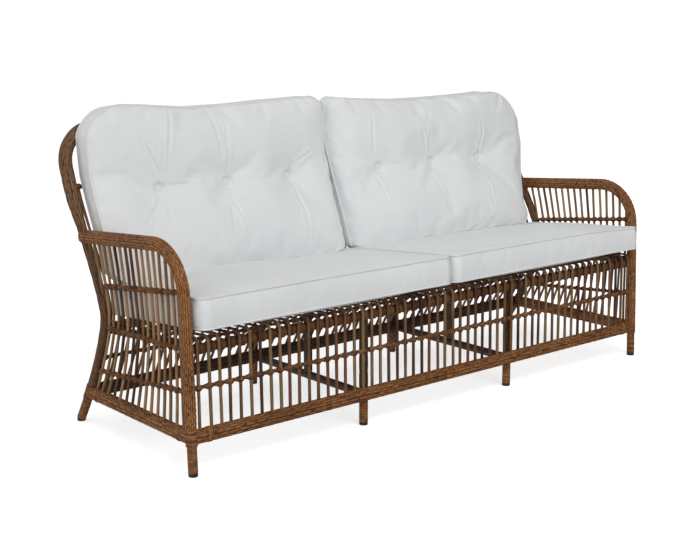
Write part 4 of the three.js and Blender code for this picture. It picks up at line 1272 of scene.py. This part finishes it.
def pipe(places, face, reference, seed):
    edge = np.linspace(0, 1, piping["count"])
    around = [(c, 0) for c in edge] + [(1, r) for r in edge[1:]]
    around += [(c, 1) for c in edge[::-1][1:]] + [(0, r) for r in edge[::-1][1:]]
    column, row = np.array(around, float).T
    line = places(column, row, np.full(len(column), float(face)))
    line = line[np.concatenate([[True], np.linalg.norm(np.diff(line, axis=0), axis=1) > piping["step"]])]
    line[-1] = line[0]
    return rolled(line, piping["radius"], piping["radius"], reference, weave["piping"], pipingFinish,
                  seed, closed=True)


def finishCushion(piece, pipes, kind, side):
    for each in [piece] + pipes:
        clothMap(each)
        if "strands" in each.data.uv_layers:
            each.data.uv_layers.remove(each.data.uv_layers["strands"])
    dress(piece, clothFinish)
    node = f"{kind}_cushion_{side}"
    piece = standFor([piece] + pipes, f"padded_{kind}_{side}", node, "fabric", node)
    focus(piece)
    bpy.ops.object.shade_smooth()
    return piece


# which points lie on the rim or on the free face, and which are sewn down
def partsOf(mesh):
    column, row, face = (pointValues(mesh, key) for key in ("column", "row", "face"))
    onRim = (np.minimum(column, 1 - column) <= 1e-6) | (np.minimum(row, 1 - row) <= 1e-6)
    held = np.where((face < 0.001) | (onRim & (face > 0.999)), 1.0, 0.0)
    return row, onRim, (face > 0.999) & ~onRim, held


def makeSeatCushion(side, sign):
    def places(column, row, face):
        return seatPlaces(column, row, face, sign)
    piece = cushionShell(84, 48, 8, places)
    row, onRim, top, held = partsOf(piece.data)
    own = padding["seat"]
    stood = np.clip((row - own["easeFrom"]) / own["easeOver"], 0, 1)
    held = np.maximum(held, np.where(row > own["stillFrom"], 1.0, 0.0))
    cap = np.where(top, own["face"] * (1 - stood), np.where(onRim, own["rim"], 0.0))
    cap = np.where(row > own["stillFrom"], 0.0, cap)
    fill(piece, held, cap, own["air"], own["slack"])
    subdivided(piece)
    face, row = pointValues(piece.data, "face"), pointValues(piece.data, "row")
    crumple(piece, own["waves"], 300 + sign, np.clip(face, 0, 1) * np.clip((0.85 - row) * 8, 0, 1))
    pipes = [pipe(places, 1, zAxis, 311), pipe(places, 0, zAxis, 312)]
    return finishCushion(piece, pipes, "seat", side)


def fromButton(spots, x):
    return np.hypot(np.abs(spots[:, 0]) - x, spots[:, 2] - buttons["height"])


def makeBackCushion(side, sign):
    def places(column, row, face):
        return backPlaces(column, row, face, side)
    piece = cushionShell(72, 48, 4, places)
    row, onRim, front, held = partsOf(piece.data)
    spots = placesOf(piece.data)
    tufted = np.zeros(len(spots))
    for x in buttons[side]:
        tufted = np.maximum(tufted, np.clip((tuft["sewn"] - fromButton(spots, x)) / tuft["edge"], 0, 1))
    held = np.maximum(held, np.where((front & (tufted > 0.5)) | (onRim & (row <= 1e-6)), 1.0, 0.0))
    own = padding["back"]
    cap = np.where(front, own["face"] * (1 - tufted), np.where(onRim, own["rim"], 0.0))
    fill(piece, held, cap, own["air"], own["slack"])
    subdivided(piece, 2)
    front = np.clip(pointValues(piece.data, "face") * 2 - 1, 0, 1)
    crumple(piece, own["waves"], 320 + sign, front)
    pressFolds(piece, side, front)
    spots = placesOf(piece.data)
    for x in buttons[side]:
        spots[:, 1] += tuft["pit"] * np.exp(-(fromButton(spots, x) / tuft["pitRadius"]) ** 6) * front
    setPlaces(piece.data, spots)
    pipes = [pipe(places, 1, yAxis, 331), pipe(places, 0, yAxis, 332)]
    return finishCushion(piece, pipes, "back", side)


backs = {}
for side, sign in sides.items():
    makeSeatCushion(side, sign)
    backs[side] = makeBackCushion(side, sign)
print("cushions made")

# covered buttons: one is domed and copied into each tuft
button = {"radius": 0.0125, "height": 0.0065, "sink": 0.0016, "lean": math.radians(12), "side": 0.45,
          "dome": ((0.0016, 0.26), (0.0030, 0.18), (0.0035, 0.09), (0.0025, 0.02))}


def makeButton():
    focus()
    bpy.ops.mesh.primitive_circle_add(vertices=28, radius=button["radius"], fill_type="NGON")
    piece = bpy.context.object
    side = button["height"] * button["side"]
    editAll(piece)
    bpy.ops.mesh.extrude_region_move(TRANSFORM_OT_translate={"value": (0, 0, side)})
    for inset, rise in button["dome"]:
        bpy.ops.mesh.inset(thickness=inset, depth=0)
        bpy.ops.transform.translate(value=(0, 0, button["height"] * rise))
    turnFacesOut()
    subdivided(piece)
    bpy.ops.object.shade_smooth()
    return dress(piece, pipingFinish)


firstButton = makeButton()
for side, sign in sides.items():
    tree = BVHTree.FromObject(backs[side], bpy.context.evaluated_depsgraph_get())
    for x, place in zip(buttons[side], ("inner", "middle", "outer")):
        hit = tree.ray_cast(Vector((sign * x, -1, buttons["height"])), Vector(yAxis))[0]
        piece = copyOf(firstButton)
        shape = placesOf(piece.data)
        y = -shape[:, 2] * math.cos(button["lean"]) + shape[:, 1] * math.sin(button["lean"])
        z = shape[:, 2] * math.sin(button["lean"]) + shape[:, 1] * math.cos(button["lean"])
        setPlaces(piece.data, np.stack([shape[:, 0] + sign * x, y + hit.y + button["sink"],
                                        z + buttons["height"]], 1))
        editAll(piece)
        turnFacesOut()
        for layer in list(piece.data.uv_layers):
            piece.data.uv_layers.remove(layer)
        clothMap(piece)
        standFor([piece], f"covered_button_{side}_{place}", f"back_cushion_{side}", "button",
                 f"back_button_{side}_{place}")
bpy.data.objects.remove(firstButton)
print("buttons made")

# a pale floor and soft studio light, a little stronger from the left, the front and above
studio = {"floor": 30.0, "glow": 0.62, "ambient": 0.47, "lean": (-0.36, -0.06, 0.08),
          "key": 74.0, "size": 2.6, "place": (-0.5, -3.4, 3.2), "aim": (0, 0, 0.4)}


def setStage():
    focus()
    bpy.ops.mesh.primitive_grid_add(x_subdivisions=8, y_subdivisions=8, size=studio["floor"])
    floor = bpy.context.object
    floor.name = "studio_floor"
    floor.visible_diffuse = floor.visible_glossy = False
    material, tree, shader = newMaterial("pale_floor")
    paleTone = ramp(tree, placeNoise(tree, 0.6, 2.0), stopsOf((0.3, 246, 246, 247), (0.7, 250, 250, 250)))
    tree.links.new(paleTone, shader.inputs["Base Color"])
    shader.inputs["Roughness"].default_value = 0.9
    shader.inputs["Emission Color"].default_value = (1, 1, 1, 1)
    shader.inputs["Emission Strength"].default_value = studio["glow"]
    dress(floor, material)
    world = bpy.data.worlds.new("studio_world")
    world.use_nodes = True
    tree = world.node_tree
    sky = tree.nodes["Background"]
    sky.inputs[0].default_value = (1, 1, 1, 1)
    way = addNode(tree, "ShaderNodeTexCoord")["Generated"]
    lean = vectorMaths(tree, "DOT_PRODUCT", {0: way, 1: studio["lean"]}, "Value")
    seen = addNode(tree, "ShaderNodeLightPath")["Is Camera Ray"]
    lit = maths(tree, "ADD", lean, studio["ambient"])
    tree.links.new(maths(tree, "MAXIMUM", lit, seen), sky.inputs[1])
    bpy.context.scene.world = world
    bpy.ops.object.light_add(type="AREA", location=studio["place"])
    lamp = bpy.context.object
    lamp.name = "key_light"
    lamp.data.size = studio["size"]
    lamp.data.energy = studio["key"]
    way = Vector(studio["aim"]) - Vector(studio["place"])
    lamp.rotation_euler = way.to_track_quat("-Z", "Y").to_euler()
    bpy.context.scene.view_settings.view_transform = "Standard"


setStage()
focus()
